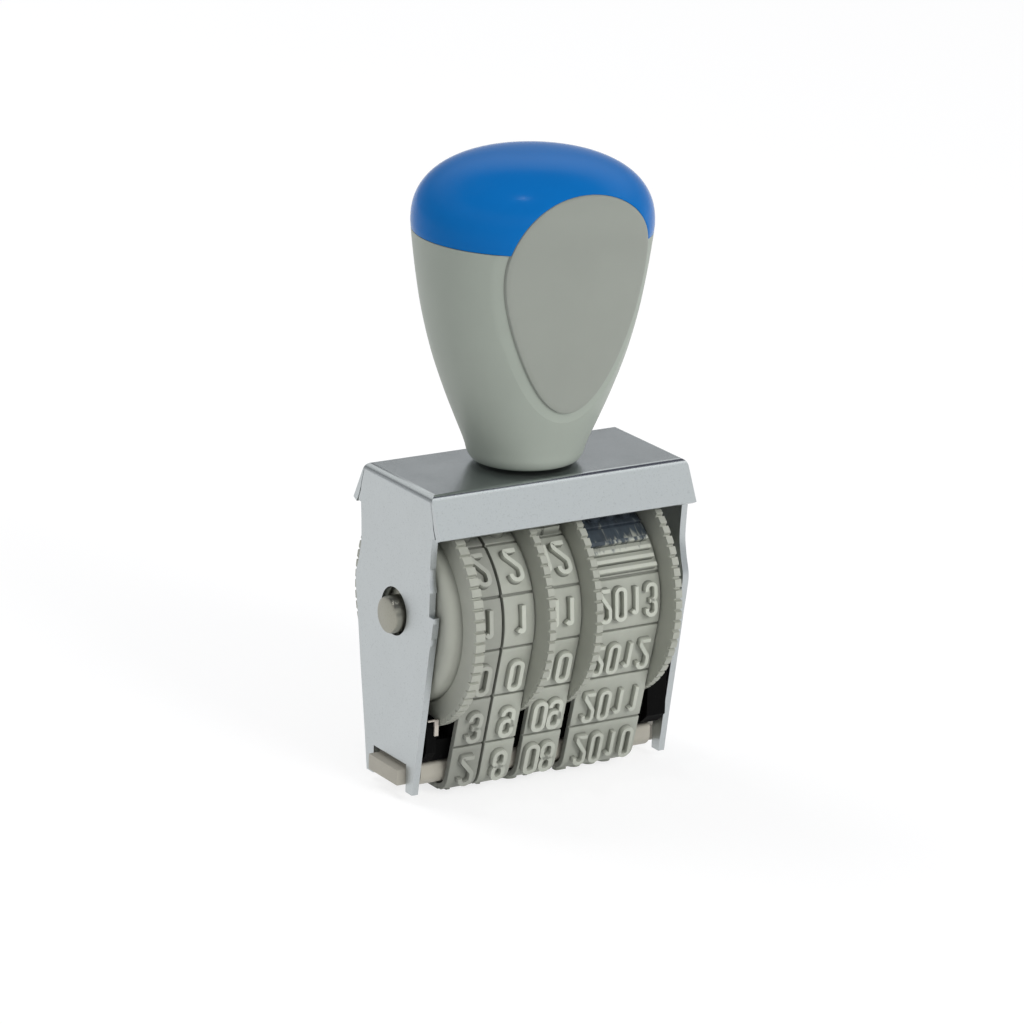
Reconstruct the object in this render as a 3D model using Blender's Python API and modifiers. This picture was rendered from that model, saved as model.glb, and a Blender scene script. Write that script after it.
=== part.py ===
"""A hand date stamp: a bent sheet frame with four band wheels on one axle, and a pear-shaped handle.

X runs across the frame, -Y is the front, +Z is up, and z = 0 is the face that prints.
"""

import math

import bmesh
import bpy
from mathutils import Matrix, Vector

MM = 0.001

# Type: one band carries 13 cells, and the cell that faces down prints.
cells_per_band = 13
type_relief = 0.7 * MM
type_sink = 0.25 * MM
char_height = 4.0 * MM
wide_char_width = 1.9 * MM
wide_char_gap = 0.4 * MM
year_char_width = 1.6 * MM
year_char_gap = 0.45 * MM
pad_thick = 0.3 * MM
base_thick = 0.4 * MM
seam_width = 0.25 * MM
nose_type_rise = 1.1 * MM

# Bands, from left to right.
day_tens_width = 3.95 * MM
day_units_width = 4.05 * MM
month_width = 5.1 * MM
year_width = 9.5 * MM
band_to_band = 0.2 * MM
band_to_rim = 0.1 * MM

# Wheels. A moving piece keeps the running gap to its neighbours, and less to a band's side.
running_gap = 0.3 * MM
rim_radius = 13.3 * MM
rim_thick = 0.9 * MM
left_rim_thick = 1.3 * MM
tooth_count = 66
tooth_depth = 0.4 * MM
drum_radius = 9.3 * MM
boss_radius = 9.8 * MM
boss_length = 1.6 * MM
web_setback = 0.2 * MM
hub_recess_radius = 6.4 * MM
separator_thick = 0.4 * MM

# Axle. Its thin ends rest low in larger holes in the cheeks.
axle_radius = 3.0 * MM
pin_radius = 2.15 * MM
pin_play = 0.35 * MM
pin_reach = 1.0 * MM
chamfer = 0.25 * MM
end_spacer_radius = 5.0 * MM
end_spacer_length = 1.2 * MM
spring_room = 1.6 * MM
wave_thick = 0.35 * MM
wave_lift = 0.25 * MM
wave_count = 3

# Platen bar, over whose round nose the bands run, and the black guide above it.
bar_depth = 10.0 * MM
nose_radius = 1.5 * MM
bar_flat = 0.9 * MM
bar_corner = 0.4 * MM
tab_depth = 6.4 * MM
tab_height = 1.9 * MM
tab_reach = 0.9 * MM
right_shoulder_room = 1.2 * MM
slot_side_room = 0.4 * MM
slot_top_room = 0.7 * MM
guide_core_thick = 2.7 * MM
guide_flare_share = 0.26
land_setback = 0.2 * MM
left_arm_depth = 12.0 * MM
left_arm_below_boss = 1.2 * MM
right_arm_depth = 13.0 * MM
arm_corner = 1.0 * MM

# Frame, bent from one sheet.
foot_height = 1.0 * MM
sheet = 0.8 * MM
plate_depth = 14.3 * MM
lip_room = 1.5 * MM
lip_drop = 4.6 * MM
shoulder_drop = 0.1 * MM
bend_radius = 0.9 * MM
lip_bend_radius = 0.6 * MM
notch_height = 2.8 * MM
notch_depth = 0.9 * MM
notch_above_axle = 3.3 * MM
# Edge of a cheek below the lips: shares of the frame's height and of half the lips' depth.
cheek_edge_shares = (
    (0.862, 0.82), (0.80, 0.80), (0.738, 0.795), (0.68, 0.84), (0.624, 0.90),
    (0.56, 0.875), (0.4875, 0.826), (0.3175, 0.726), (0.136, 0.61), (0.0, 0.532),
)

# Handle: a turned grey body and a blue cap, slightly flattened from front to back.
handle_x = -0.3 * MM
handle_radius = 13.85 * MM
handle_flat_share = 0.95
seam_height = 27.1 * MM
cap_height = 9.0 * MM
cap_joint = 0.15 * MM
widest_above_seam = 0.8 * MM
dome_power = 2.4
# Side of the grey body: shares of its height and of the handle's radius.
body_side_shares = (
    (0.0, 0.43), (0.016, 0.472), (0.046, 0.502), (0.10, 0.535), (0.288, 0.682),
    (0.474, 0.805), (0.661, 0.895), (0.847, 0.957), (1.0, 0.995),
)
cavity_above_screw = 2.0 * MM
cavity_radius = 3.4 * MM
spigot_length = 6.0 * MM
screw_radius = 2.0 * MM
screw_head_radius = 4.0 * MM
screw_head_thick = 0.9 * MM
screw_head_room = 0.5 * MM
screw_length = 12.0 * MM

# Label: a bare egg-shaped plate let into the front of the body and the cap.
label_low = 7.8 * MM
label_below_top = 2.5 * MM
label_half_width = 8.6 * MM
label_thick = 1.2 * MM
label_proud = 0.15 * MM
label_crown_radius = 45.0 * MM
label_egg_share = 0.36
label_top_share = 0.1
label_gap = 0.3 * MM

# Smoothness of round shapes, how far a cutter runs past what it cuts, and what counts as one point.
turn_steps = 40
small_turn_steps = 24
fillet_steps = 3
nose_steps = 5
edge_steps = 2
dome_steps = 8
cell_steps = 4
label_rows = 12
label_columns = 6
label_end_angle = 0.12
shade_angle = math.radians(35)
straight_angle = math.radians(0.05)
overrun = 2.0 * MM
weld_distance = 0.001 * MM

# Heights, from the printing face up.
band_thick = base_thick + pad_thick + type_relief
bar_bottom = band_thick + running_gap
bar_top = bar_bottom + nose_radius + bar_flat + bar_corner
guide_low = bar_top + running_gap
guide_high = guide_low + guide_core_thick
axle_height = guide_high + running_gap + rim_radius
drum_low = axle_height - drum_radius - running_gap
pin_hole_radius = pin_radius + running_gap + pin_play
pin_hole_height = axle_height + pin_play
screw_head_low = axle_height + rim_radius + screw_head_room
screw_head_top = screw_head_low + screw_head_thick
plate_top = screw_head_top + running_gap + sheet
frame_height = plate_top - foot_height

# Heights above the plate.
handle_height = seam_height + cap_height
widest_height = seam_height + widest_above_seam
label_high = handle_height - label_below_top
label_middle = (label_low + label_high) / 2
label_half_height = (label_high - label_low) / 2

# Half sizes from front to back.
lip_above_axle = plate_top - lip_drop - axle_height
half_lip = math.sqrt(rim_radius**2 - lip_above_axle**2) + lip_room + sheet
half_plate = plate_depth / 2
half_bar = bar_depth / 2
belt_radius = drum_radius + running_gap
belt_nose_radius = nose_radius + running_gap
hub_recess = (separator_thick + running_gap) / 2
axle_bore = axle_radius + running_gap

# Looks: base colour, roughness and metallic.
plated_steel = ((0.50, 0.53, 0.55), 0.28, 0.9)
turned_steel = ((0.55, 0.53, 0.49), 0.4, 0.6)
cast_metal = ((0.52, 0.47, 0.39), 0.5, 0.4)
grey_wheel_plastic = ((0.40, 0.40, 0.36), 0.45, 0.0)
grey_rubber = ((0.46, 0.47, 0.43), 0.6, 0.0)
black_plastic = ((0.01, 0.01, 0.01), 0.5, 0.0)
grey_handle_plastic = ((0.28, 0.30, 0.27), 0.42, 0.0)
grey_label_plastic = ((0.30, 0.31, 0.28), 0.38, 0.0)
blue_plastic = ((0.0, 0.12, 0.42), 0.25, 0.0)


class Span:
    """A stretch along X, from low to high."""

    def __init__(self, low, high):
        self.low = low
        self.high = high
        self.middle = (low + high) / 2


def spans_across():
    """Everything that fills the frame from the left cheek to the right one, centred on x = 0."""
    stack = (
        ("left_cheek", 0, sheet),
        ("boss", running_gap, boss_length),
        ("left_rim", 0, left_rim_thick),
        ("day_tens", band_to_rim, day_tens_width),
        ("day_units", band_to_band, day_units_width),
        ("units_rim", band_to_rim, rim_thick),
        ("month", band_to_rim, month_width),
        ("month_rim", band_to_rim, rim_thick),
        ("year", band_to_rim, year_width),
        ("year_rim", band_to_rim, rim_thick),
        ("end_spacer", running_gap, end_spacer_length),
        ("right_cheek", spring_room, sheet),
    )
    total = sum(gap + width for _, gap, width in stack)
    edge = -total / 2
    spans = {}
    for name, gap, width in stack:
        spans[name] = Span(edge + gap, edge + gap + width)
        edge += gap + width
    return spans


spans = spans_across()
cheek_outer = spans["right_cheek"].high
cheek_inner = spans["right_cheek"].low
inner_end = cheek_inner - running_gap
drum_split = (spans["day_tens"].high + spans["day_units"].low) / 2


def clear_scene():
    for obj in list(bpy.data.objects):
        bpy.data.objects.remove(obj, do_unlink=True)


def new_collection(name):
    collection = bpy.data.collections.new(name)
    bpy.context.scene.collection.children.link(collection)
    return collection


clear_scene()
stamp = new_collection("date_stamp")
cutters = new_collection("cutters")


def finish(name, look):
    colour, roughness, metallic = look
    material = bpy.data.materials.new(name)
    material.use_nodes = True
    shader = material.node_tree.nodes["Principled BSDF"]
    shader.inputs["Base Color"].default_value = (*colour, 1.0)
    shader.inputs["Roughness"].default_value = roughness
    shader.inputs["Metallic"].default_value = metallic
    material.diffuse_color = (*colour, 1.0)
    return material


def place(obj, look=None):
    """Links a piece with a look into the stamp, and a shape without one into the cutters."""
    if look:
        stamp.objects.link(obj)
        obj.data.materials.append(finish(f"{obj.name}_finish", look))
    else:
        cutters.objects.link(obj)
        obj.hide_render = True
        obj.display_type = "WIRE"
    return obj


def mesh_object(name, bm, look=None):
    mesh = bpy.data.meshes.new(name)
    bm.to_mesh(mesh)
    bm.free()
    mesh.shade_smooth()
    mesh.set_sharp_from_angle(angle=shade_angle)
    return place(bpy.data.objects.new(name, mesh), look)


def boolean(obj, other, operation):
    modifier = obj.modifiers.new(f"{operation.lower()}_{other.name}", "BOOLEAN")
    modifier.operation = operation
    modifier.solver = "EXACT"
    modifier.object = other


def corners_of(outline):
    """The outline without the points that lie along a straight stretch."""
    corners = []
    for i, here in enumerate(outline):
        before = Vector(here) - Vector(outline[i - 1])
        after = Vector(outline[(i + 1) % len(outline)]) - Vector(here)
        if abs(before.angle_signed(after)) > straight_angle:
            corners.append(here)
    return corners


def extruded(name, outlines, depth, matrix, look=None):
    """A flat outline, with holes if more than one is given, made a solid of this depth."""
    curve = bpy.data.curves.new(name, "CURVE")
    curve.dimensions = "2D"
    curve.fill_mode = "BOTH"
    curve.extrude = depth / 2
    for outline in map(corners_of, outlines):
        spline = curve.splines.new("POLY")
        spline.points.add(len(outline) - 1)
        for point, (x, y) in zip(spline.points, outline):
            point.co = (x, y, 0, 1)
        spline.use_cyclic_u = True
    drawn = bpy.data.objects.new(f"{name}_outline", curve)
    bpy.context.scene.collection.objects.link(drawn)
    drawn.matrix_world = matrix
    graph = bpy.context.evaluated_depsgraph_get()
    mesh = bpy.data.meshes.new_from_object(drawn.evaluated_get(graph))
    bpy.data.objects.remove(drawn, do_unlink=True)
    bm = bmesh.new()
    bm.from_mesh(mesh)
    bpy.data.meshes.remove(mesh)
    bmesh.ops.remove_doubles(bm, verts=bm.verts, dist=weld_distance)
    bmesh.ops.recalc_face_normals(bm, faces=bm.faces)
    solid = mesh_object(name, bm, look)
    solid.matrix_world = matrix
    return solid


def slab(name, outlines, low, high, look=None, height=0):
    """Outlines in Y and Z, raised by height, that fill the frame's width from low to high."""
    across = Matrix(((0, 0, 1, 0), (1, 0, 0, 0), (0, 1, 0, 0), (0, 0, 0, 1)))
    matrix = Matrix.Translation(((low + high) / 2, 0, height)) @ across
    return extruded(name, outlines, high - low, matrix, look)


def turned(name, profile, steps, look=None):
    """A profile of (radius, height) points, outer side first from top to bottom, turned about Z."""
    bm = bmesh.new()
    verts = [bm.verts.new((radius, 0, height)) for radius, height in profile]
    for first, second in zip(verts, verts[1:]):
        bm.edges.new((first, second))
    if profile[0][0] > 0:
        bm.edges.new((verts[-1], verts[0]))
    obj = mesh_object(name, bm, look)
    screw = obj.modifiers.new("turn", "SCREW")
    screw.axis = "Z"
    screw.angle = math.tau
    screw.steps = steps
    screw.render_steps = steps
    screw.use_merge_vertices = True
    screw.merge_threshold = weld_distance
    return obj


def onto_axle(obj):
    """Stands a turned piece's axis on the axle: its own +Z becomes +X."""
    obj.rotation_euler = (0, math.pi / 2, 0)
    obj.location = (0, 0, axle_height)
    return obj


def box(name, low, high, look=None):
    size = Vector(high) - Vector(low)
    middle = (Vector(high) + Vector(low)) / 2
    bm = bmesh.new()
    matrix = Matrix.Translation(middle) @ Matrix.Diagonal((*size, 1))
    bmesh.ops.create_cube(bm, size=1, matrix=matrix)
    return mesh_object(name, bm, look)


def round_corners(corners, steps=fillet_steps):
    """Replaces each (x, y, radius) corner with an arc that is tangent to both of its sides."""
    points = []
    for i, (x, y, radius) in enumerate(corners):
        here = Vector((x, y))
        if not radius:
            points.append((x, y))
            continue
        before = (Vector(corners[i - 1][:2]) - here).normalized()
        after = (Vector(corners[(i + 1) % len(corners)][:2]) - here).normalized()
        half = before.angle(after) / 2
        centre = here + (before + after).normalized() * radius / math.sin(half)
        reach = radius / math.tan(half)
        start = here + before * reach - centre
        end = here + after * reach - centre
        turn = math.atan2(start.x * end.y - start.y * end.x, start.dot(end))
        for step in range(steps + 1):
            arm = Matrix.Rotation(turn * step / steps, 2) @ start
            points.append(tuple(centre + arm))
    return points


def smooth_through(points, steps):
    """A Catmull-Rom curve through the points, with this many steps between two of them."""
    padded = [points[0], *points, points[-1]]
    path = []
    for i in range(1, len(padded) - 2):
        a, b, c, d = (Vector(p) for p in padded[i - 1 : i + 3])
        for step in range(steps):
            t = step / steps
            path.append(
                0.5 * (2 * b + (c - a) * t + (2 * a - 5 * b + 4 * c - d) * t**2
                       + (3 * b - a - 3 * c + d) * t**3)
            )
    path.append(Vector(points[-1]))
    return [tuple(p) for p in path]


def circle(radius, steps, height=0):
    angles = (math.tau * step / steps for step in range(steps))
    return [(radius * math.cos(a), height + radius * math.sin(a)) for a in angles]


def toothed_rim():
    """The outline of a finger rim, serrated all round."""
    points = []
    for half_tooth in range(2 * tooth_count):
        angle = math.pi * half_tooth / tooth_count
        radius = rim_radius - tooth_depth * (half_tooth % 2)
        points.append((radius * math.cos(angle), radius * math.sin(angle)))
    return points


def make_wheel(name, low, high, rim, boss=None):
    """A drum that carries one band, with its rim, about the axle from low to high."""
    if boss:
        shoulder = rim.middle
        start = [
            (drum_radius, shoulder), (boss_radius, shoulder),
            (boss_radius, boss.low), (axle_bore, boss.low),
        ]
    else:
        start = [
            (drum_radius, low), (hub_recess_radius, low),
            (hub_recess_radius, low + hub_recess), (axle_bore, low + hub_recess),
        ]
    profile = [
        (drum_radius, high), *start,
        (axle_bore, high - hub_recess), (hub_recess_radius, high - hub_recess),
        (hub_recess_radius, high),
    ]
    wheel = onto_axle(turned(name, profile, turn_steps, grey_wheel_plastic))
    ring_inner = circle((drum_radius + hub_recess_radius) / 2, turn_steps)
    outlines = [toothed_rim(), ring_inner]
    ring = slab(f"{name}_rim", outlines, rim.low, rim.high, height=axle_height)
    boolean(wheel, ring, "UNION")


def make_wheels():
    units_rim, month_rim, year_rim = (spans[name] for name in ("units_rim", "month_rim", "year_rim"))
    half_gap = running_gap / 2
    make_wheel("day_tens_wheel", -inner_end, drum_split - half_gap, spans["left_rim"], spans["boss"])
    make_wheel("day_units_wheel", drum_split + half_gap, units_rim.high - web_setback, units_rim)
    make_wheel("month_wheel", units_rim.high + running_gap, month_rim.high - web_setback, month_rim)
    make_wheel("year_wheel", month_rim.high + running_gap, year_rim.high - web_setback, year_rim)


def washer_profile(bore, outer, low, high):
    return [(outer, high), (outer, low), (bore, low), (bore, high)]


def make_separators():
    """Thin steel discs in the hub recesses, which keep one wheel from dragging the next."""
    off_rim = (running_gap - web_setback) / 2
    middles = (drum_split, spans["units_rim"].high + off_rim, spans["month_rim"].high + off_rim)
    outer = hub_recess_radius - running_gap
    for number, middle in enumerate(middles, start=1):
        half = separator_thick / 2
        profile = washer_profile(axle_bore, outer, middle - half, middle + half)
        onto_axle(turned(f"wheel_separator_{number}", profile, small_turn_steps, plated_steel))


def make_axle():
    end = cheek_outer + pin_reach
    half = [
        (0, end), (pin_radius - chamfer, end), (pin_radius, end - chamfer),
        (pin_radius, inner_end), (axle_radius, inner_end),
    ]
    other_half = [(radius, -height) for radius, height in reversed(half)]
    onto_axle(turned("axle", [*half, *other_half], small_turn_steps, turned_steel))


def make_end_fittings():
    """Right of the last wheel: a plain spacer, and a wave spring that presses the wheels together."""
    spacer = spans["end_spacer"]
    profile = washer_profile(axle_bore, end_spacer_radius, spacer.low, spacer.high)
    onto_axle(turned("end_spacer", profile, small_turn_steps, grey_wheel_plastic))
    half = wave_thick / 2
    flat = turned("wave_flat", washer_profile(axle_bore, end_spacer_radius, -half, half), turn_steps)
    graph = bpy.context.evaluated_depsgraph_get()
    bm = bmesh.new()
    bm.from_object(flat, graph)
    bpy.data.objects.remove(flat, do_unlink=True)
    middle = (spacer.high + cheek_inner) / 2
    for vert in bm.verts:
        angle = math.atan2(vert.co.y, vert.co.x)
        vert.co.z += middle + wave_lift * math.cos(wave_count * angle)
    onto_axle(mesh_object("wave_spring", bm, plated_steel))


class Belt:
    """The closed line round the drum and the nose of the platen bar, as stretches of line and arc."""

    def __init__(self):
        nose = Vector((nose_radius - half_bar, band_thick + belt_nose_radius))
        hub = Vector((0, axle_height))
        between = hub - nose
        turn = math.acos((belt_nose_radius - belt_radius) / between.length)
        lean = math.atan2(between.y, between.x) + turn
        down = 1.5 * math.pi
        top = math.pi / 2
        slope = math.sqrt(between.length_squared - (belt_nose_radius - belt_radius) ** 2)
        self.half = [
            ("line", Vector((0, band_thick)), down, -nose.x),
            ("arc", nose, down, lean, belt_nose_radius),
            ("line", nose + belt_nose_radius * self.out(lean), lean, slope),
            ("arc", hub, lean, top, belt_radius),
        ]
        self.half_length = sum(self.length(piece) for piece in self.half)

    @staticmethod
    def out(angle):
        return Vector((math.cos(angle), math.sin(angle)))

    @staticmethod
    def length(piece):
        """The length of a stretch at the middle of the band's base."""
        if piece[0] == "line":
            return piece[3]
        return (piece[2] - piece[3]) * (piece[4] + base_thick / 2)

    def at(self, run, lift):
        """The point at this length from the bottom, and its outward direction, lifted off the belt."""
        run %= 2 * self.half_length
        mirrored = run > self.half_length
        left = 2 * self.half_length - run if mirrored else run
        for piece in self.half:
            length = self.length(piece)
            if left <= length or piece is self.half[-1]:
                break
            left -= length
        if piece[0] == "line":
            angle = piece[2]
            along = Vector((math.sin(angle), -math.cos(angle)))
            point = piece[1] + along * left + self.out(angle) * lift
        else:
            angle = piece[2] - left / (piece[4] + base_thick / 2)
            point = piece[1] + self.out(angle) * (piece[4] + lift)
        out = self.out(angle)
        if mirrored:
            point.x, out.x = -point.x, -out.x
        return point, out


belt = Belt()
cell_pitch = 2 * belt.half_length / cells_per_band


def band_outline():
    """The outside of a band: a flat-faced pad for each cell, and a narrow seam between pads."""
    points = []
    face = base_thick + pad_thick
    length = cell_pitch - seam_width
    for cell in range(cells_per_band):
        start = cell * cell_pitch - length / 2
        points.append(tuple(belt.at(start, base_thick)[0]))
        for step in range(cell_steps + 1):
            points.append(tuple(belt.at(start + length * step / cell_steps, face)[0]))
        points.append(tuple(belt.at(start + length, base_thick)[0]))
    return points


def belt_outline():
    """The inside of a band."""
    steps = cell_steps * cells_per_band
    return [tuple(belt.at(2 * belt.half_length * step / steps, 0)[0]) for step in range(steps)]


def type_run(cell):
    """Where a cell's type is centred along the belt: beside the nose it stands a little up its pad."""
    rises = {1: nose_type_rise, cells_per_band - 1: -nose_type_rise}
    return cell * cell_pitch + rises.get(cell, 0)


def make_band(name, span, chars, char_width, char_gap):
    """An endless rubber band with a raised block for each character of each cell."""
    band = slab(name, [band_outline(), belt_outline()], span.low, span.high, grey_rubber)
    bm = bmesh.new()
    rise = type_relief + type_sink
    size = Matrix.Diagonal((char_width, char_height, rise, 1))
    for cell in range(cells_per_band):
        point, out = belt.at(type_run(cell), band_thick - rise / 2)
        turn = Matrix(((1, 0, 0), (0, -out.y, out.x), (0, out.x, out.y))).transposed().to_4x4()
        for char in range(chars):
            x = span.middle + (char - (chars - 1) / 2) * (char_width + char_gap)
            matrix = Matrix.Translation((x, *point)) @ turn @ size
            bmesh.ops.create_cube(bm, size=1, matrix=matrix)
    bmesh.ops.recalc_face_normals(bm, faces=bm.faces)
    boolean(band, mesh_object(f"{name}_type", bm), "UNION")


def make_bands():
    make_band("day_tens_band", spans["day_tens"], 1, wide_char_width, wide_char_gap)
    make_band("day_units_band", spans["day_units"], 1, wide_char_width, wide_char_gap)
    make_band("month_band", spans["month"], 2, wide_char_width, wide_char_gap)
    make_band("year_band", spans["year"], 4, year_char_width, year_char_gap)


def cheek_outline():
    """A cheek seen from the side: shoulders under the lips, a hip, and feet either side of the slot."""
    edge = smooth_through(
        [(wide * half_lip, foot_height + up * frame_height) for up, wide in cheek_edge_shares], edge_steps
    )
    slot = tab_depth / 2 + slot_side_room
    slot_top = bar_bottom + tab_height + slot_top_room
    shoulder = plate_top - lip_drop - shoulder_drop
    inset = sheet / 2
    back = [
        (half_plate - inset, plate_top - inset), (half_lip - inset, shoulder),
        (edge[0][0], shoulder - shoulder_drop), *edge,
    ]
    front = [(-y, z) for y, z in reversed(back)]
    feet = [(slot, foot_height), (slot, slot_top), (-slot, slot_top), (-slot, foot_height)]
    return [*back, *feet, *front]


def hat_outline():
    """The top plate and its two flared lips, as the bent sheet's cut edge."""
    lean = math.atan2(half_lip - half_plate, lip_drop)
    under_lip = plate_top - lip_drop
    inner_y = half_plate - sheet * (1 - math.sin(lean)) / math.cos(lean)
    tip = (half_lip - sheet * math.cos(lean), under_lip - sheet * math.sin(lean))
    half = [
        (inner_y, plate_top - sheet, 0), (*tip, 0),
        (half_lip, under_lip, 0), (half_plate, plate_top, lip_bend_radius),
    ]
    other = [(-y, z, radius) for y, z, radius in reversed(half)]
    return round_corners([*half, *other])


def edge_notch():
    """The cutter for the notch in the left cheek's front edge."""
    front = -half_lip * max(wide for _, wide in cheek_edge_shares)
    middle = axle_height + notch_above_axle
    return box(
        "edge_notch",
        (-cheek_outer - overrun, front - overrun, middle - notch_height / 2),
        (-cheek_inner + overrun, front + notch_depth, middle + notch_height / 2),
    )


def screw_hole():
    """The round cutter for the handle's screw, up through the top plate."""
    radius = screw_radius + running_gap
    bm = bmesh.new()
    bmesh.ops.create_cone(
        bm, cap_ends=True, segments=small_turn_steps, radius1=radius, radius2=radius,
        depth=sheet + 2 * overrun, matrix=Matrix.Translation((handle_x, 0, plate_top - sheet / 2)),
    )
    return mesh_object("screw_hole", bm)


def bent_side_view():
    """What the bends leave of the frame, seen from the front."""
    corners = round_corners([
        (cheek_outer, -overrun, 0), (cheek_outer, plate_top, bend_radius),
        (-cheek_outer, plate_top, bend_radius), (-cheek_outer, -overrun, 0),
    ])
    facing = Matrix(((1, 0, 0, 0), (0, 0, -1, 0), (0, 1, 0, 0), (0, 0, 0, 1)))
    return extruded("frame_bends", [corners], 2 * half_lip + overrun, facing)


def make_frame():
    """The plate and both cheeks are joined over long, and trimmed together to the frame's width."""
    far = cheek_outer + overrun
    frame = slab("frame", [hat_outline()], -far, far, plated_steel)
    outside = cheek_outer + overrun / 2
    outlines = [cheek_outline(), circle(pin_hole_radius, small_turn_steps, pin_hole_height)]
    boolean(frame, slab("left_cheek", outlines, -outside, -cheek_inner), "UNION")
    boolean(frame, slab("right_cheek", outlines, cheek_inner, outside), "UNION")
    boolean(frame, edge_notch(), "DIFFERENCE")
    boolean(frame, screw_hole(), "DIFFERENCE")
    boolean(frame, bent_side_view(), "INTERSECT")


def make_platen_bar():
    outline = round_corners([
        (-half_bar, bar_bottom, nose_radius), (half_bar, bar_bottom, nose_radius),
        (half_bar, bar_top, bar_corner), (-half_bar, bar_top, bar_corner),
    ], nose_steps)
    bar = slab("platen_bar", [outline], -inner_end, cheek_inner - right_shoulder_room, cast_metal)
    tab_end = cheek_outer + tab_reach
    tabs = box(
        "platen_tabs",
        (-tab_end, -tab_depth / 2, bar_bottom),
        (tab_end, tab_depth / 2, bar_bottom + tab_height),
    )
    boolean(bar, tabs, "UNION")


def flared_block(low, high, setback=0):
    """The outline of a stretch of the guide, which widens towards the drums."""
    narrow = half_bar + guide_flare_share * (low - guide_low) - setback
    wide = half_bar + guide_flare_share * (high - guide_low) - setback
    return [(-narrow, low), (narrow, low), (wide, high), (-wide, high)]


def arm_outline(depth, top):
    middle = (guide_low + guide_high) / 2
    return round_corners([
        (-half_bar, guide_low, 0), (half_bar, guide_low, 0), (depth / 2, middle, 0),
        (depth / 2, top, arm_corner), (-depth / 2, top, arm_corner), (-depth / 2, middle, 0),
    ])


def make_band_guide():
    """The black core inside the bands: a land under each drum, and an arm beside each cheek."""
    core = flared_block(guide_low, guide_high)
    guide = slab("band_guide", [core], -inner_end, inner_end, black_plastic)
    land = flared_block((guide_low + guide_high) / 2, drum_low, land_setback)
    inset = running_gap - band_to_rim
    for name in ("day_tens", "day_units", "month", "year"):
        low, high = spans[name].low + inset, spans[name].high - inset
        boolean(guide, slab(f"{name}_land", [land], low, high), "UNION")
    left_arm = arm_outline(left_arm_depth, axle_height - boss_radius - left_arm_below_boss)
    left_end = spans["left_rim"].low - running_gap
    boolean(guide, slab("left_arm", [left_arm], -inner_end, left_end), "UNION")
    right_arm = arm_outline(right_arm_depth, axle_height - end_spacer_radius - running_gap)
    right_end = spans["year_rim"].high + running_gap
    boolean(guide, slab("right_arm", [right_arm], right_end, inner_end), "UNION")


def body_side():
    """The grey body's outer side, from its base up to the seam, as (radius, height) points."""
    rise = seam_height - running_gap
    return [(wide * handle_radius, running_gap + up * rise) for up, wide in body_side_shares]


def dome_side():
    """The cap's outer side, from its top down to the widest place."""
    points = []
    for step in range(dome_steps + 1):
        angle = math.pi / 2 * step / dome_steps
        radius = handle_radius * math.sin(angle) ** (2 / dome_power)
        rise = (handle_height - widest_height) * math.cos(angle) ** (2 / dome_power)
        points.append((radius, widest_height + rise))
    return points


def handle_radius_at(height):
    """The handle's outer radius at a height above the plate."""
    side = [*body_side(), *reversed(dome_side())]
    for (low_radius, low), (high_radius, high) in zip(side, side[1:]):
        if height <= high:
            share = (height - low) / (high - low)
            return low_radius + (high_radius - low_radius) * share
    return 0


def flatten(obj):
    """Sets a turned handle piece on the plate and draws it in from front to back."""
    obj.location = (handle_x, 0, plate_top)
    obj.scale = (1, handle_flat_share, 1)
    return obj


def label_surface(grow, back_off):
    """The label's crowned front as an open mesh, widened by grow and moved in by back_off.

    Each row runs from one side of the egg to the other, and its ends lie on the handle's surface.
    """
    bm = bmesh.new()
    grid = []
    for row in range(label_rows + 1):
        angle = label_end_angle + (math.pi - 2 * label_end_angle) * row / label_rows
        rise = -math.cos(angle)
        egg = 1 + label_egg_share * rise + label_top_share * rise**2
        half_width = label_half_width * math.sin(angle) * egg + grow
        height = label_middle + (label_half_height + grow) * rise
        edge = math.sqrt(handle_radius_at(height) ** 2 - half_width**2) * handle_flat_share
        line = []
        for column in range(label_columns + 1):
            x = half_width * (2 * column / label_columns - 1)
            crown = (half_width**2 - x**2) / (2 * label_crown_radius)
            depth = edge + label_proud + crown - back_off
            line.append(bm.verts.new((handle_x + x, -depth, plate_top + height)))
        grid.append(line)
    for lower, upper in zip(grid, grid[1:]):
        for column in range(label_columns):
            bm.faces.new((lower[column], lower[column + 1], upper[column + 1], upper[column]))
    return bm


def make_label():
    plate = mesh_object("label_plate", label_surface(0, 0), grey_label_plastic)
    shell = plate.modifiers.new("thickness", "SOLIDIFY")
    shell.thickness = label_thick
    shell.offset = -1


def make_label_recess():
    """The pocket for the label: the same outline with a gap, run out past the handle's front."""
    bm = label_surface(label_gap, label_thick + label_gap)
    floor = list(bm.faces)
    moved = bmesh.ops.extrude_face_region(bm, geom=floor, use_keep_orig=True)
    raised = [item for item in moved["geom"] if isinstance(item, bmesh.types.BMVert)]
    bmesh.ops.translate(bm, verts=raised, vec=(0, -handle_radius, 0))
    bmesh.ops.recalc_face_normals(bm, faces=bm.faces)
    return mesh_object("label_recess", bm)


def make_handle():
    side = body_side()
    bore = screw_radius + running_gap
    cavity_floor = screw_length + cavity_above_screw
    profile = [
        (cavity_radius, seam_height), *reversed(side), (bore, side[0][1]),
        (bore, cavity_floor), (cavity_radius, cavity_floor),
    ]
    body = flatten(turned("handle_body", profile, turn_steps, grey_handle_plastic))
    cap_low = seam_height + cap_joint
    spigot = cavity_radius - running_gap
    profile = [
        *dome_side(), (side[-1][0], cap_low), (spigot, cap_low),
        (spigot, cap_low - spigot_length), (0, cap_low - spigot_length),
    ]
    cap = flatten(turned("handle_cap", profile, turn_steps, blue_plastic))
    recess = make_label_recess()
    for piece in (body, cap):
        boolean(piece, recess, "DIFFERENCE")


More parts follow.
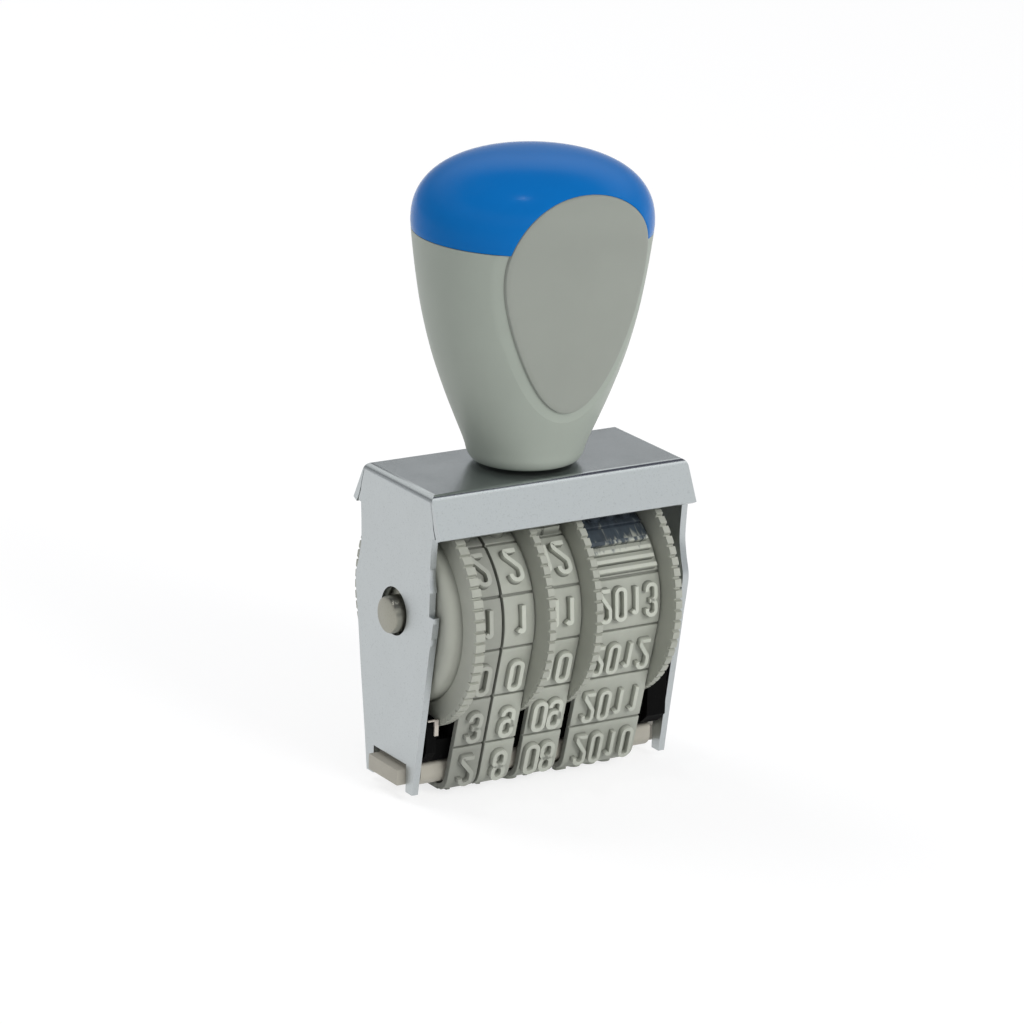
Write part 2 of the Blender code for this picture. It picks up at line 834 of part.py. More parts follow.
def make_handle_screw():
    tip = plate_top + screw_length
    profile = [
        (0, tip), (screw_radius - chamfer, tip), (screw_radius, tip - chamfer),
        (screw_radius, screw_head_top), (screw_head_radius, screw_head_top),
        (screw_head_radius, screw_head_low), (0, screw_head_low),
    ]
    turned("handle_screw", profile, small_turn_steps, plated_steel).location.x = handle_x


make_frame()
make_axle()
make_wheels()
make_separators()
make_end_fittings()
make_platen_bar()
make_band_guide()
make_bands()
make_handle()
make_handle_screw()
make_label()
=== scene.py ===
# %% [markdown]
# # A hand date stamp
# Four rubber bands carry the day, the month and the year. Each runs over a toothed finger wheel
# and under a bar at the foot of a bent steel frame. A pear-shaped handle stands on top.
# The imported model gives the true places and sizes, in metres: X runs across the frame, -Y is
# the front and +Z is up. This script dresses it, one piece and one finish at a time.

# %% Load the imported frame
import math

import bmesh
import bpy
import numpy as np
from mathutils import Matrix, Vector


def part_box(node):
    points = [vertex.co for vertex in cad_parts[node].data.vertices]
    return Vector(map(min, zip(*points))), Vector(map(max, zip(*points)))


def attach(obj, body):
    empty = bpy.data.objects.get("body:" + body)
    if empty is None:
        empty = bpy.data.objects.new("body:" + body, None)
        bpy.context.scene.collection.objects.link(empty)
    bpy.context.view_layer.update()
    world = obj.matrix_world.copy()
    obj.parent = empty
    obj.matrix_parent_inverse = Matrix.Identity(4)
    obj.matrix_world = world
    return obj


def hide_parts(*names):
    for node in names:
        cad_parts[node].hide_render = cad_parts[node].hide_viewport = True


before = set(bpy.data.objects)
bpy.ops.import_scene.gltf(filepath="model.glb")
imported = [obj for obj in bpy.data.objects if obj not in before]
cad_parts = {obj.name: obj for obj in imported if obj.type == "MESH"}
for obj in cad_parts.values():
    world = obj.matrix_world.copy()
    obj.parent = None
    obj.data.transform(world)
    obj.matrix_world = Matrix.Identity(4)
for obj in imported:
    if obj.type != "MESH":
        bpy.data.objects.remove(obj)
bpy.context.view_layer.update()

MM = 0.001
STAMP = "stamp_body"

# %% [markdown]
# ## Nodes by expression
# A finish is a small sum: a base colour, a bit of noise, a mask. Writing each Math node by hand
# hides that sum, so one class wraps a socket and lets Python's operators add the nodes.

# %% A socket that does arithmetic
def add_node(tree, kind, settings=None, inputs=None):
    """Adds a node, sets its settings first, and then its sockets from values or other sockets."""
    made = tree.nodes.new(kind)
    for name, value in (settings or {}).items():
        if name == "stops":
            fill_ramp(made.color_ramp, value)
        else:
            setattr(made, name, value)
    for name, value in (inputs or {}).items():
        join(tree, value, made.inputs[name])
    return made


def join(tree, value, socket):
    if isinstance(value, Wire):
        value = value.socket
    if isinstance(value, bpy.types.NodeSocket):
        tree.links.new(value, socket)
    else:
        socket.default_value = value


def fill_ramp(ramp, stops):
    """Sets a ramp's stops. It has two from the start, so only the further ones are added."""
    for place, _ in stops[2:]:
        ramp.elements.new(place)
    for element, (place, colour) in zip(ramp.elements, sorted(stops)):
        element.position = place
        element.color = colour


def math_node(tree, operation, *values):
    settings = {"operation": operation}
    return add_node(tree, "ShaderNodeMath", settings, dict(enumerate(values))).outputs[0]


def split(tree, vector):
    """A vector's X, Y and Z, as sockets."""
    return add_node(tree, "ShaderNodeSeparateXYZ", None, {"Vector": vector}).outputs


class Wire:
    """One socket of a finish. Sums and products of wires add Math nodes."""

    def __init__(self, finish, socket):
        self.finish = finish
        self.socket = socket

    def math(self, operation, *values):
        return Wire(self.finish, math_node(self.finish.tree, operation, *values))

    def __add__(self, other):
        return self.math("ADD", self, other)

    def __sub__(self, other):
        return self.math("SUBTRACT", self, other)

    def __rsub__(self, other):
        return self.math("SUBTRACT", other, self)

    def __mul__(self, other):
        return self.math("MULTIPLY", self, other)

    __radd__ = __add__
    __rmul__ = __mul__

    def ramp(self, low, high):
        """0 below low, 1 above high, and smooth between them. It falls where low is above high."""
        settings = {"interpolation_type": "SMOOTHSTEP"}
        inputs = {"Value": self, "From Min": low, "From Max": high}
        return self.finish.node("ShaderNodeMapRange", settings, inputs)


class Finish:
    """A material on the Principled shader. A gloss of 0.5 is plain plastic, and less is duller."""

    def __init__(self, name, colour, roughness, metallic=0.0, gloss=0.5):
        self.material = bpy.data.materials.new(name)
        self.material.use_nodes = True
        self.tree = self.material.node_tree
        self.shader = self.tree.nodes["Principled BSDF"]
        self.colour = (*colour, 1.0)
        self.set("Base Color", self.colour)
        self.set("Roughness", roughness)
        self.set("Metallic", metallic)
        self.set("Specular IOR Level", gloss)

    def set(self, socket, value):
        join(self.tree, value, self.shader.inputs[socket])

    def node(self, kind, settings=None, inputs=None, output=0):
        return Wire(self, add_node(self.tree, kind, settings, inputs).outputs[output])

    def place(self):
        return self.node("ShaderNodeTexCoord", output="Object")

    def axes(self):
        """The object's own X, Y and Z, in metres, as three wires."""
        return [Wire(self, socket) for socket in split(self.tree, self.place())]

    def noise(self, size, detail=2.0, roughness=0.5, stretch=(1, 1, 1)):
        """Noise from 0 to 1 whose grains are about this size, in metres, times the stretch."""
        scale = tuple(1 / (size * times) for times in stretch)
        at = self.node("ShaderNodeMapping", None, {"Vector": self.place(), "Scale": scale})
        inputs = {"Vector": at, "Scale": 1.0, "Detail": detail, "Roughness": roughness}
        return self.node("ShaderNodeTexNoise", None, inputs)

    def mix(self, share, first, second):
        inputs = {0: share, 6: first, 7: second}
        return self.node("ShaderNodeMix", {"data_type": "RGBA"}, inputs, 2)

    def attribute(self, name):
        """A number that the mesh carries at each point."""
        return self.node("ShaderNodeAttribute", {"attribute_name": name}, None, "Fac")

    def bump(self, height, depth, strength=1.0):
        """Feeds a height from 0 to 1, this deep in metres, to the shader's normal."""
        inputs = {"Height": height, "Distance": depth, "Strength": strength}
        self.set("Normal", self.node("ShaderNodeBump", None, inputs, "Normal"))

    def clouded(self, size, darker, lighter, detail=3.0):
        """Lets the colour waver between two tones of itself, in clouds of this size."""
        tones = shade(self.colour, darker), shade(self.colour, lighter)
        self.set("Base Color", self.mix(self.noise(size, detail), *tones))

    def grained(self, size, least, spread, depth, strength=0.5, **noise):
        """Adds a fine grain that raises the roughness from the least one, and pits the face."""
        grain = self.noise(size, **noise)
        self.set("Roughness", least + grain * spread)
        self.bump(grain, depth, strength)


def srgb(red, green, blue):
    """A colour picked from a picture, 0 to 255, as the shader's linear one."""
    shares = (value / 255 for value in (red, green, blue))
    return tuple(s / 12.92 if s <= 0.04045 else ((s + 0.055) / 1.055) ** 2.4 for s in shares)


def shade(colour, times):
    return (*(min(1.0, part * times) for part in colour[:3]), 1.0)


# %% [markdown]
# ## Finishes
# The sheet is zinc-plated steel: bright, a little blue, and matt from a fine grain, so it is a
# metal with a high roughness that wavers. The wheels and bands are pale grey, but the wheels
# are hard plastic and the bands soft rubber, so the rubber is rougher and dustier. The handle
# is smooth plastic: each finish there needs only a faint cloud and a faint grain.

# %% Plated sheet steel
def plated(name, colour, roughness, rubbed_above=None):
    """Plated steel with a grain and darker flecks, worn smoother above a height if it has one."""
    finish = Finish(name, colour, roughness, 0.97)
    grain = finish.noise(0.12 * MM, 3.0, 0.7)
    cloud = finish.noise(4.0 * MM, 3.0)
    fleck = finish.noise(0.22 * MM, 2.0, 0.6).ramp(0.56, 0.72)
    tone = finish.mix(grain * 0.5 + cloud * 0.5, shade(colour, 0.88), shade(colour, 1.1))
    finish.set("Base Color", finish.mix(fleck * 0.5, tone, shade(colour, 0.72)))
    matt = roughness - 0.08 + cloud * 0.1 + grain * 0.08
    if rubbed_above:
        matt = matt - finish.axes()[2].ramp(rubbed_above - 0.1 * MM, rubbed_above) * 0.15
    finish.set("Roughness", matt)
    finish.bump(grain, 0.012 * MM, 0.6)
    return finish


sheet_steel = plated("plated_sheet_steel", srgb(187, 192, 193), 0.33, 36.45 * MM)
bright_steel = plated("bright_steel", srgb(156, 155, 144), 0.34)
print("steel finishes:", sheet_steel.material.name, bright_steel.material.name)


# %% Cast bar, black guide and wheel plastic
cast_metal = Finish("cast_bar_metal", srgb(176, 172, 160), 0.5, 0.3)
cast_metal.clouded(2.5 * MM, 0.85, 1.1, detail=2.0)
cast_metal.grained(0.25 * MM, 0.4, 0.2, 0.03 * MM, detail=4.0, roughness=0.65)
guide_black = Finish("black_moulding", (0.002, 0.002, 0.002), 0.7, gloss=0.07)
guide_black.grained(0.3 * MM, 0.6, 0.2, 0.02 * MM, strength=0.4)
wheel_grey = Finish("wheel_plastic", srgb(163, 165, 154), 0.45)
wheel_grey.clouded(3.0 * MM, 0.9, 1.08)
wheel_grey.grained(0.2 * MM, 0.38, 0.16, 0.01 * MM, strength=0.4)


# %% Band rubber and ink
def rubber(name, colour):
    """Rubber with dust on the type's faces, darker towards the bottom, and painted shade at their feet."""
    finish = Finish(name, colour, 0.62)
    cloud = finish.noise(1.6 * MM, 4.0, 0.6)
    mottled_tone = finish.mix(cloud, shade(colour, 0.9), shade(colour, 1.06))
    # The colour darkens towards the bottom of the band.
    low = finish.axes()[2].ramp(13 * MM, 3 * MM)
    mottled_tone = finish.mix(low * 0.5, mottled_tone, shade(colour, 0.68))
    # Painted shade: the type's feet, the pads, the seams and the band's sides are darkened by how high each
    # point stands.
    lit = finish.attribute("stands").ramp(-0.24, 0.45)
    finish.colour = finish.mix(lit, shade(colour, 0.42), mottled_tone)
    finish.set("Base Color", finish.colour)
    finish.grained(0.18 * MM, 0.52, 0.2, 0.02 * MM, detail=3.0, roughness=0.6)
    return finish


def inked(finish):
    """A smear of dried stamp ink, ragged along its lower edge, high on the front of the band."""
    x, y, z = finish.axes()
    streak = finish.noise(0.5 * MM, 2.0, 0.5, (1, 5, 5))
    thin = finish.noise(0.5 * MM, 1.0, 0.5, (1, 4, 4))
    bare = finish.noise(0.4 * MM, 1.0, 0.5, (1, 5, 5)).ramp(0.58, 0.78)
    edge = 26.2 * MM + x * 0.08 + streak * 2.6 * MM
    smear = (z - edge).ramp(-0.3 * MM, 0.6 * MM) * y.ramp(2 * MM, 0) * (1 - bare * 0.45)
    ink = finish.mix(thin, (*srgb(22, 30, 44), 1), (*srgb(62, 76, 88), 1))
    finish.set("Base Color", finish.mix(smear * 0.94, finish.colour, ink))
    return finish


band_rubber = rubber("band_rubber", srgb(193, 196, 184))
# A darker copy of the band rubber for the day tens band: painted shade from the cheek beside it.
painted_shade_rubber = rubber("painted_shade_band_rubber", srgb(168, 170, 160))
inked_rubber = inked(rubber("inked_band_rubber", srgb(191, 194, 182)))


# %% Smooth moulded plastics
def moulded(name, colour, roughness, grain_depth, gloss=0.5):
    finish = Finish(name, colour, roughness, gloss=gloss)
    finish.clouded(6.0 * MM, 0.95, 1.05)
    finish.grained(0.25 * MM, roughness - 0.04, 0.08, grain_depth)
    return finish


handle_grey = moulded("handle_grey_plastic", srgb(152, 159, 149), 0.42, 0.008 * MM, 0.3)
label_grey = moulded("label_grey_plastic", srgb(140, 144, 136), 0.38, 0.006 * MM, 0.3)
cap_blue = moulded("cap_blue_plastic", srgb(14, 103, 175), 0.2, 0.003 * MM, 0.045)
# Pale plastic for the guide's tag, and for the thin strip that paints a highlight on the guide's edge.
pale_highlight_and_tag = moulded("pale_highlight_and_tag_plastic", srgb(188, 180, 170), 0.5, 0.01 * MM)
print("materials:", len(bpy.data.materials))


# %% [markdown]
# ## Making and softening solids
# Most pieces here are a flat outline pulled out, or one turned about an axis. Real edges are
# never sharp: a cut steel edge has a burr and a moulded one a small radius, and both catch a
# line of light. So each solid has its flat faces joined, and its true corners bevelled.

# %% Outlines, slabs and turned shapes
def crease(mesh, degrees):
    """Shades a mesh smooth, but sharp where its faces meet at more than this angle."""
    mesh.shade_smooth()
    mesh.set_sharp_from_angle(angle=math.radians(degrees))


def new_piece(name, bm, finish=None):
    mesh = bpy.data.meshes.new(name)
    bm.to_mesh(mesh)
    bm.free()
    crease(mesh, 35)
    if finish:
        mesh.materials.append(finish.material)
    obj = bpy.data.objects.new(name, mesh)
    bpy.context.scene.collection.objects.link(obj)
    return obj


def slab(name, outline, low, high, finish=None):
    """An outline of (y, z) points pulled out along X from low to high."""
    bm = bmesh.new()
    face = bm.faces.new([bm.verts.new((low, y, z)) for y, z in outline])
    moved = bmesh.ops.extrude_face_region(bm, geom=[face])
    verts = [item for item in moved["geom"] if isinstance(item, bmesh.types.BMVert)]
    bmesh.ops.translate(bm, verts=verts, vec=(high - low, 0, 0))
    bmesh.ops.recalc_face_normals(bm, faces=bm.faces)
    return new_piece(name, bm, finish)


def turned(name, profile, steps, finish=None, along="Z", at=(0, 0, 0)):
    """Closed (radius, height) points turned about an axis: Z, or X for pieces on the axle."""
    bm = bmesh.new()
    rings = []
    for radius, height in profile:
        count = steps if radius > 1e-9 else 1
        angles = [math.tau * step / count for step in range(count)]
        rings.append([
            bm.verts.new((radius * math.cos(a), radius * math.sin(a), height)) for a in angles
        ])
    for a, b in zip(rings, rings[1:] + rings[:1]):
        if len(a) == 1 and len(b) == 1:
            continue
        for i in range(steps):
            j = (i + 1) % steps
            corners = [a[i % len(a)], a[j % len(a)], b[j % len(b)], b[i % len(b)]]
            bm.faces.new(list(dict.fromkeys(corners)))
    if along == "X":
        turn = Matrix(((0, 0, 1), (1, 0, 0), (0, 1, 0))).to_4x4()
        bmesh.ops.transform(bm, matrix=turn, verts=bm.verts)
    bmesh.ops.translate(bm, verts=bm.verts, vec=at)
    bmesh.ops.recalc_face_normals(bm, faces=bm.faces)
    return new_piece(name, bm, finish)


def box(name, low, high, finish=None):
    bm = bmesh.new()
    size, middle = Vector(high) - Vector(low), (Vector(high) + Vector(low)) / 2
    place = Matrix.Translation(middle) @ Matrix.Diagonal((*size, 1))
    bmesh.ops.create_cube(bm, size=1, matrix=place)
    return new_piece(name, bm, finish)


def skin(bm, rings):
    """Faces between each ring of points and the next one."""
    for a, b in zip(rings, rings[1:]):
        for i in range(len(a)):
            j = (i + 1) % len(a)
            bm.faces.new((a[i], a[j], b[j], b[i]))


# %% Booleans and bevels, made plain meshes at once
def plain_mesh(obj):
    """What an object's modifiers make, as a mesh of its own."""
    graph = bpy.context.evaluated_depsgraph_get()
    return bpy.data.meshes.new_from_object(obj.evaluated_get(graph))


def freeze(obj):
    """Turns an object with modifiers into a plain mesh."""
    mesh = plain_mesh(obj)
    obj.modifiers.clear()
    obj.data = mesh
    return obj


def carve(obj, other, operation="DIFFERENCE"):
    """Cuts, joins or trims obj by another shape, which is then thrown away."""
    modifier = obj.modifiers.new(operation, "BOOLEAN")
    modifier.operation = operation
    modifier.solver = "EXACT"
    modifier.object = other
    freeze(obj)
    bpy.data.objects.remove(other, do_unlink=True)
    return obj


def soften(obj, width):
    """Joins flat faces, bevels the real corners, and shades the rest smooth."""
    same_place, nearly_flat, corner = 0.001 * MM, math.radians(0.8), math.radians(32)
    bm = bmesh.new()
    bm.from_mesh(obj.data)
    bmesh.ops.remove_doubles(bm, verts=bm.verts, dist=same_place)
    bmesh.ops.dissolve_limit(bm, angle_limit=nearly_flat, verts=bm.verts, edges=bm.edges)
    sharp = [e for e in bm.edges if len(e.link_faces) == 2 and e.calc_face_angle() > corner]
    bmesh.ops.bevel(
        bm, geom=sharp, offset=width, offset_type="OFFSET", segments=2, profile=0.5,
        affect="EDGES", clamp_overlap=True,
    )
    bm.to_mesh(obj.data)
    bm.free()
    crease(obj.data, 40)
    weigh = obj.modifiers.new("flat faces first", "WEIGHTED_NORMAL")
    weigh.keep_sharp = True
    return freeze(obj)


def dress(piece, node, body=STAMP):
    """Puts a finished piece in a node's place, on its body."""
    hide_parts(node)
    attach(piece, body)
    print(f"{piece.name}: {len(piece.data.polygons)} faces for {node}")
    return piece


def rounded(corners, steps=6, closed=True):
    """Replaces each (x, y, radius) corner with an arc that touches both of its sides."""
    points = []
    last = len(corners) - 1
    for i, (x, y, radius) in enumerate(corners):
        here = Vector((x, y))
        if not radius or (not closed and i in (0, last)):
            points.append((x, y))
            continue
        before = (Vector(corners[i - 1][:2]) - here).normalized()
        after = (Vector(corners[(i + 1) % len(corners)][:2]) - here).normalized()
        half = before.angle(after) / 2
        centre = here + (before + after).normalized() * radius / math.sin(half)
        reach = radius / math.tan(half)
        start, end = here + before * reach - centre, here + after * reach - centre
        turn = math.atan2(start.x * end.y - start.y * end.x, start.dot(end))
        for step in range(steps + 1):
            points.append(tuple(centre + Matrix.Rotation(turn * step / steps, 2) @ start))
    return points


def smooth_through(points, steps):
    """A smooth curve through the points, with this many steps between two of them."""
    padded = [points[0], *points, points[-1]]
    path = []
    for i in range(1, len(padded) - 2):
        a, b, c, d = (Vector(p) for p in padded[i - 1 : i + 3])
        for step in range(steps):
            t = step / steps
            path.append(0.5 * (2 * b + (c - a) * t + (2 * a - 5 * b + 4 * c - d) * t**2
                               + (3 * b - a - 3 * c + d) * t**3))
    path.append(Vector(points[-1]))
    return [tuple(p) for p in path]


# %% [markdown]
# ## The frame
# One steel sheet, cut flat and bent: a top plate, a cheek at each end and a flared lip at the
# front and back. The plate with its lips is one outline, the cheek another, and a rounded box
# trims both to the width, which gives the two bends. The lips' ends lie over the cheeks' front
# edges, so a thin slit is cut there.

# %% Sizes of the frame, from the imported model
low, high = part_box("frame")
cheek_outer, foot, plate_top, half_lip = high.x, low.z, high.z, high.y
sheet = 0.8 * MM
half_plate = 7.15 * MM
lip_drop = 4.6 * MM
axle_height = 21.1 * MM
shoulder_reach = 8.4 * MM
cheek_inner = cheek_outer - sheet
frame_height = plate_top - foot
cheek_edge_shares = (
    (0.862, 0.82), (0.80, 0.80), (0.738, 0.795), (0.68, 0.84), (0.624, 0.90),
    (0.56, 0.875), (0.4875, 0.826), (0.3175, 0.726), (0.136, 0.61), (0.0, 0.532),
)
print("frame:", [round(v / MM, 2) for v in (cheek_outer * 2, half_lip * 2, foot, plate_top)], "mm")


# %% Outlines of the cheek and of the plate with its lips
def cheek_outline():
    through = [(w * half_lip, foot + up * frame_height) for up, w in cheek_edge_shares]
    edge = smooth_through(through, 8)
    slot, slot_top = 3.6 * MM, 4.3 * MM
    shoulder = plate_top - lip_drop - 0.1 * MM
    inset = sheet / 2
    back = [
        (half_plate - inset, plate_top - inset), (shoulder_reach, shoulder),
        (edge[0][0], shoulder - 0.1 * MM), *edge,
    ]
    front = [(-y, z) for y, z in reversed(back)]
    return [*back, (slot, foot), (slot, slot_top), (-slot, slot_top), (-slot, foot), *front]


def hat_outline():
    lean = math.atan2(half_lip - half_plate, lip_drop)
    tip_height = plate_top - lip_drop
    inner = half_plate - sheet * (1 - math.sin(lean)) / math.cos(lean)
    tip = (half_lip - sheet * math.cos(lean), tip_height - sheet * math.sin(lean))
    half = [
        (inner, plate_top - sheet, 0), (*tip, 0), (half_lip, tip_height, 0),
        (half_plate, plate_top, 0.7 * MM),
    ]
    return rounded([*half, *((-y, z, r) for y, z, r in reversed(half))], 8)


# %% Join, trim and soften the frame
def seam_slit(side, front):
    """A thin wedge in the side face, along the joint between a lip's end and a cheek."""
    top = Vector((half_plate + 0.12 * MM, plate_top - 0.75 * MM))
    bottom = Vector((shoulder_reach + 0.06 * MM, plate_top - lip_drop - 0.3 * MM))
    across = Vector((0.045 * MM, 0))
    corners = [top - across, top + across, bottom + across, bottom - across]
    ends = sorted((side * (cheek_outer - 0.3 * MM), side * (cheek_outer + MM)))
    return slab("slit", [(front * p.x, p.y) for p in corners], *ends)


def make_frame():
    far = cheek_outer + 2 * MM
    obj = slab("frame_sheet", hat_outline(), -far, far, sheet_steel)
    for low, high in ((-far, -cheek_inner), (cheek_inner, far)):
        carve(obj, slab("cheek", cheek_outline(), low, high), "UNION")
    reach, hole = far * 2, 2.8 * MM
    bore = [(0, reach), (hole, reach), (hole, -reach), (0, -reach)]
    carve(obj, turned("pin_holes", bore, 64, along="X", at=(0, 0, axle_height + 0.35 * MM)))
    edge, notch, half_notch = -half_lip * 0.9, axle_height + 3.3 * MM, 1.4 * MM
    carve(obj, box(
        "notch", (-reach, edge - 2 * MM, notch - half_notch),
        (-cheek_inner + MM, edge + 0.9 * MM, notch + half_notch),
    ))
    under, bend = -5 * MM, 0.9 * MM
    sides = rounded([
        (cheek_outer, under, 0), (cheek_outer, plate_top, bend),
        (-cheek_outer, plate_top, bend), (-cheek_outer, under, 0),
    ], 10)
    trim = slab("trim", sides, -2 * half_lip, 2 * half_lip)
    trim.data.transform(Matrix(((0, 1, 0), (1, 0, 0), (0, 0, 1))).to_4x4())
    trim.data.flip_normals()
    carve(obj, trim, "INTERSECT")
    for side in (-1, 1):
        for front in (-1, 1):
            carve(obj, seam_slit(side, front))
    soften(obj, 0.09 * MM)
    return dress(obj, "frame")


frame_sheet = make_frame()


# %% [markdown]
# ## The axle and the bar
# The axle's ends rest low in holes that are larger than they are. The bar lies across the
# feet, and its flat tabs come out through the slots.

# %% Axle and platen bar
def make_axle():
    end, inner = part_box("axle")[1].x, 15.9 * MM
    pin, shaft, edge = 2.15 * MM, 3.0 * MM, 0.35 * MM
    half = [
        (0, end), (pin - edge, end), (pin - edge * 0.3, end - edge * 0.3), (pin, end - edge),
        (pin, inner), (shaft, inner),
    ]
    profile = [*half, *((r, -h) for r, h in reversed(half))]
    obj = turned("axle_pin", profile, 64, bright_steel, "X", (0, 0, axle_height))
    return dress(obj, "axle")


def make_bar():
    low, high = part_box("platen_bar")
    half, nose, edge, wear = high.y, 1.5 * MM, 0.4 * MM, 0.12 * MM
    outline = rounded([
        (-half, low.z, nose), (half, low.z, nose), (half, high.z, edge), (-half, high.z, edge),
    ], 8)
    obj = slab("platen_bar_cast", outline, -15.9 * MM, 15.0 * MM, cast_metal)
    soften(obj, wear)
    half_tab, tab_low, tab_top = 3.2 * MM, low.z + 0.02 * MM, low.z + 1.9 * MM
    for left, right in ((low.x, -15.0 * MM), (14.0 * MM, high.x)):
        tab = box("tab", (left, -half_tab, tab_low), (right, half_tab, tab_top), cast_metal)
        soften(tab, wear)
        carve(obj, tab, "UNION")
    return dress(obj, "platen_bar")


make_axle()
make_bar()
for node, finish in (
    ("band_guide", guide_black), ("end_spacer", wheel_grey), ("wave_spring", sheet_steel),
    ("wheel_separator_1", sheet_steel), ("wheel_separator_2", sheet_steel),
    ("wheel_separator_3", sheet_steel), ("handle_screw", bright_steel),
):
    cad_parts[node].material_slots[0].material = finish.material


# %% A painted highlight and a pale tag on the guide's left arm
def make_pale_edge_and_tag():
    """A thin pale strip along the arm's front edge, a painted highlight there, with a tag that hangs from
    it.
    """
    front, top, thick = -6.0 * MM, 10.05 * MM, 0.2 * MM
    left, right, tag_left = -15.8 * MM, -14.45 * MM, -14.95 * MM
    start = (left, front - 0.14 * MM, top - 0.16 * MM)
    obj = box("guide_flash", start, (right, front + thick, top), pale_highlight_and_tag)
    start = (tag_left, front - thick, top - 1.9 * MM)
    carve(obj, box("tag", start, (right, front + thick, top - 0.02 * MM)), "UNION")
    soften(obj, 0.04 * MM)
    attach(obj, STAMP)
    print(f"{obj.name}: {len(obj.data.polygons)} faces")


make_pale_edge_and_tag()


# %% [markdown]
# ## Geometry Nodes from a script
# Teeth and type repeat by a rule, so Geometry Nodes lay them out. A tree is written once with
# named inputs, run on each piece, and its result is kept as a plain mesh.

# %% A tree with named inputs
def new_tree(name, inputs):
    tree = bpy.data.node_groups.new(name, "GeometryNodeTree")
    tree.interface.new_socket("Geometry", in_out="INPUT", socket_type="NodeSocketGeometry")
    for label, kind in inputs.items():
        tree.interface.new_socket(label, in_out="INPUT", socket_type=f"NodeSocket{kind}")
    tree.interface.new_socket("Geometry", in_out="OUTPUT", socket_type="NodeSocketGeometry")
    start = tree.nodes.new("NodeGroupInput")
    return tree, start.outputs


def end_tree(tree, parts, finish):
    """Joins the parts, gives them their finish, and sends them out."""
    joined = tree.nodes.new("GeometryNodeJoinGeometry")
    for part in parts:
        tree.links.new(part, joined.inputs[0])
    inputs = {"Geometry": joined.outputs[0], "Material": finish}
    painted = add_node(tree, "GeometryNodeSetMaterial", None, inputs)
    add_node(tree, "NodeGroupOutput", None, {0: painted.outputs[0]})


def with_tree(obj, tree, values):
    """Puts a tree on an object, with its inputs set by their identifiers."""
    modifier = obj.modifiers.new(tree.name, "NODES")
    modifier.node_group = tree
    for item in tree.interface.items_tree:
        if item.in_out == "INPUT" and item.name in values:
            modifier[item.identifier] = values[item.name]
    return obj


# %% [markdown]
# ## Finger wheels
# A wheel is a turned drum with a thin rim. The rim is cut into small teeth that a fingertip
# grips. One tooth is a cube whose upper points are drawn together, which gives it sloped
# flanks. The tree sets it at the rim's radius, and copies it round the axle.

# %% The tree that sets teeth round a rim
def tooth_tree():
    tree, given = new_tree("teeth_round_a_rim", {
        "Tooth Count": "Int", "Rim Radius": "Float", "Tooth Depth": "Float", "Foot Length": "Float",
        "Top Share": "Float", "Rim Middle": "Float", "Rim Width": "Float", "Axle Height": "Float",
        "Finish": "Material",
    })

    def vector(**parts):
        return add_node(tree, "ShaderNodeCombineXYZ", None, parts).outputs[0]

    sink, top_width = 1.5, 0.94
    depth = math_node(tree, "MULTIPLY", given["Tooth Depth"], sink)
    cube = add_node(tree, "GeometryNodeMeshCube", None, {
        "Size": vector(X=given["Rim Width"], Y=given["Foot Length"], Z=depth),
    })
    position = tree.nodes.new("GeometryNodeInputPosition").outputs[0]
    upper = math_node(tree, "GREATER_THAN", split(tree, position)["Z"], 0.0)
    narrowed = add_node(tree, "ShaderNodeVectorMath", {"operation": "MULTIPLY"}, {
        0: position, 1: vector(X=top_width, Y=given["Top Share"], Z=1.0),
    })
    tooth = add_node(tree, "GeometryNodeSetPosition", None, {
        "Geometry": cube.outputs["Mesh"], "Selection": upper, "Position": narrowed.outputs[0],
    })
    half_depth = math_node(tree, "DIVIDE", depth, 2.0)
    middle = math_node(tree, "SUBTRACT", given["Rim Radius"], half_depth)
    placed = add_node(tree, "GeometryNodeTransform", None, {
        "Geometry": tooth.outputs[0], "Translation": vector(X=given["Rim Middle"], Z=middle),
    })
    points = add_node(tree, "GeometryNodePoints", None, {"Count": given["Tooth Count"]})
    index = tree.nodes.new("GeometryNodeInputIndex").outputs[0]
    whole_turns = math_node(tree, "MULTIPLY", index, math.tau)
    turn = math_node(tree, "DIVIDE", whole_turns, given["Tooth Count"])
    copies = add_node(tree, "GeometryNodeInstanceOnPoints", None, {
        "Points": points.outputs[0], "Instance": placed.outputs[0], "Rotation": vector(X=turn),
    })
    plain = add_node(tree, "GeometryNodeRealizeInstances", None, {"Geometry": copies.outputs[0]})
    raised = add_node(tree, "GeometryNodeTransform", None, {
        "Geometry": plain.outputs[0], "Translation": vector(Z=given["Axle Height"]),
    })
    end_tree(tree, [given["Geometry"], raised.outputs[0]], given["Finish"])
    return tree


teeth = tooth_tree()
print(f"{teeth.name}: {len(teeth.nodes)} nodes")


# %% Four wheels
rim_radius, tooth_depth, tooth_count = 13.28 * MM, 0.36 * MM, 66
drum_radius, axle_bore = 9.3 * MM, 3.3 * MM
wheels = {
    "day_tens": (-15.9, -9.0, -14.3, -13.0), "day_units": (-8.7, -3.9, -4.6, -3.7),
    "month": (-3.4, 2.3, 1.6, 2.5), "year": (2.8, 12.9, 12.2, 13.1),
}


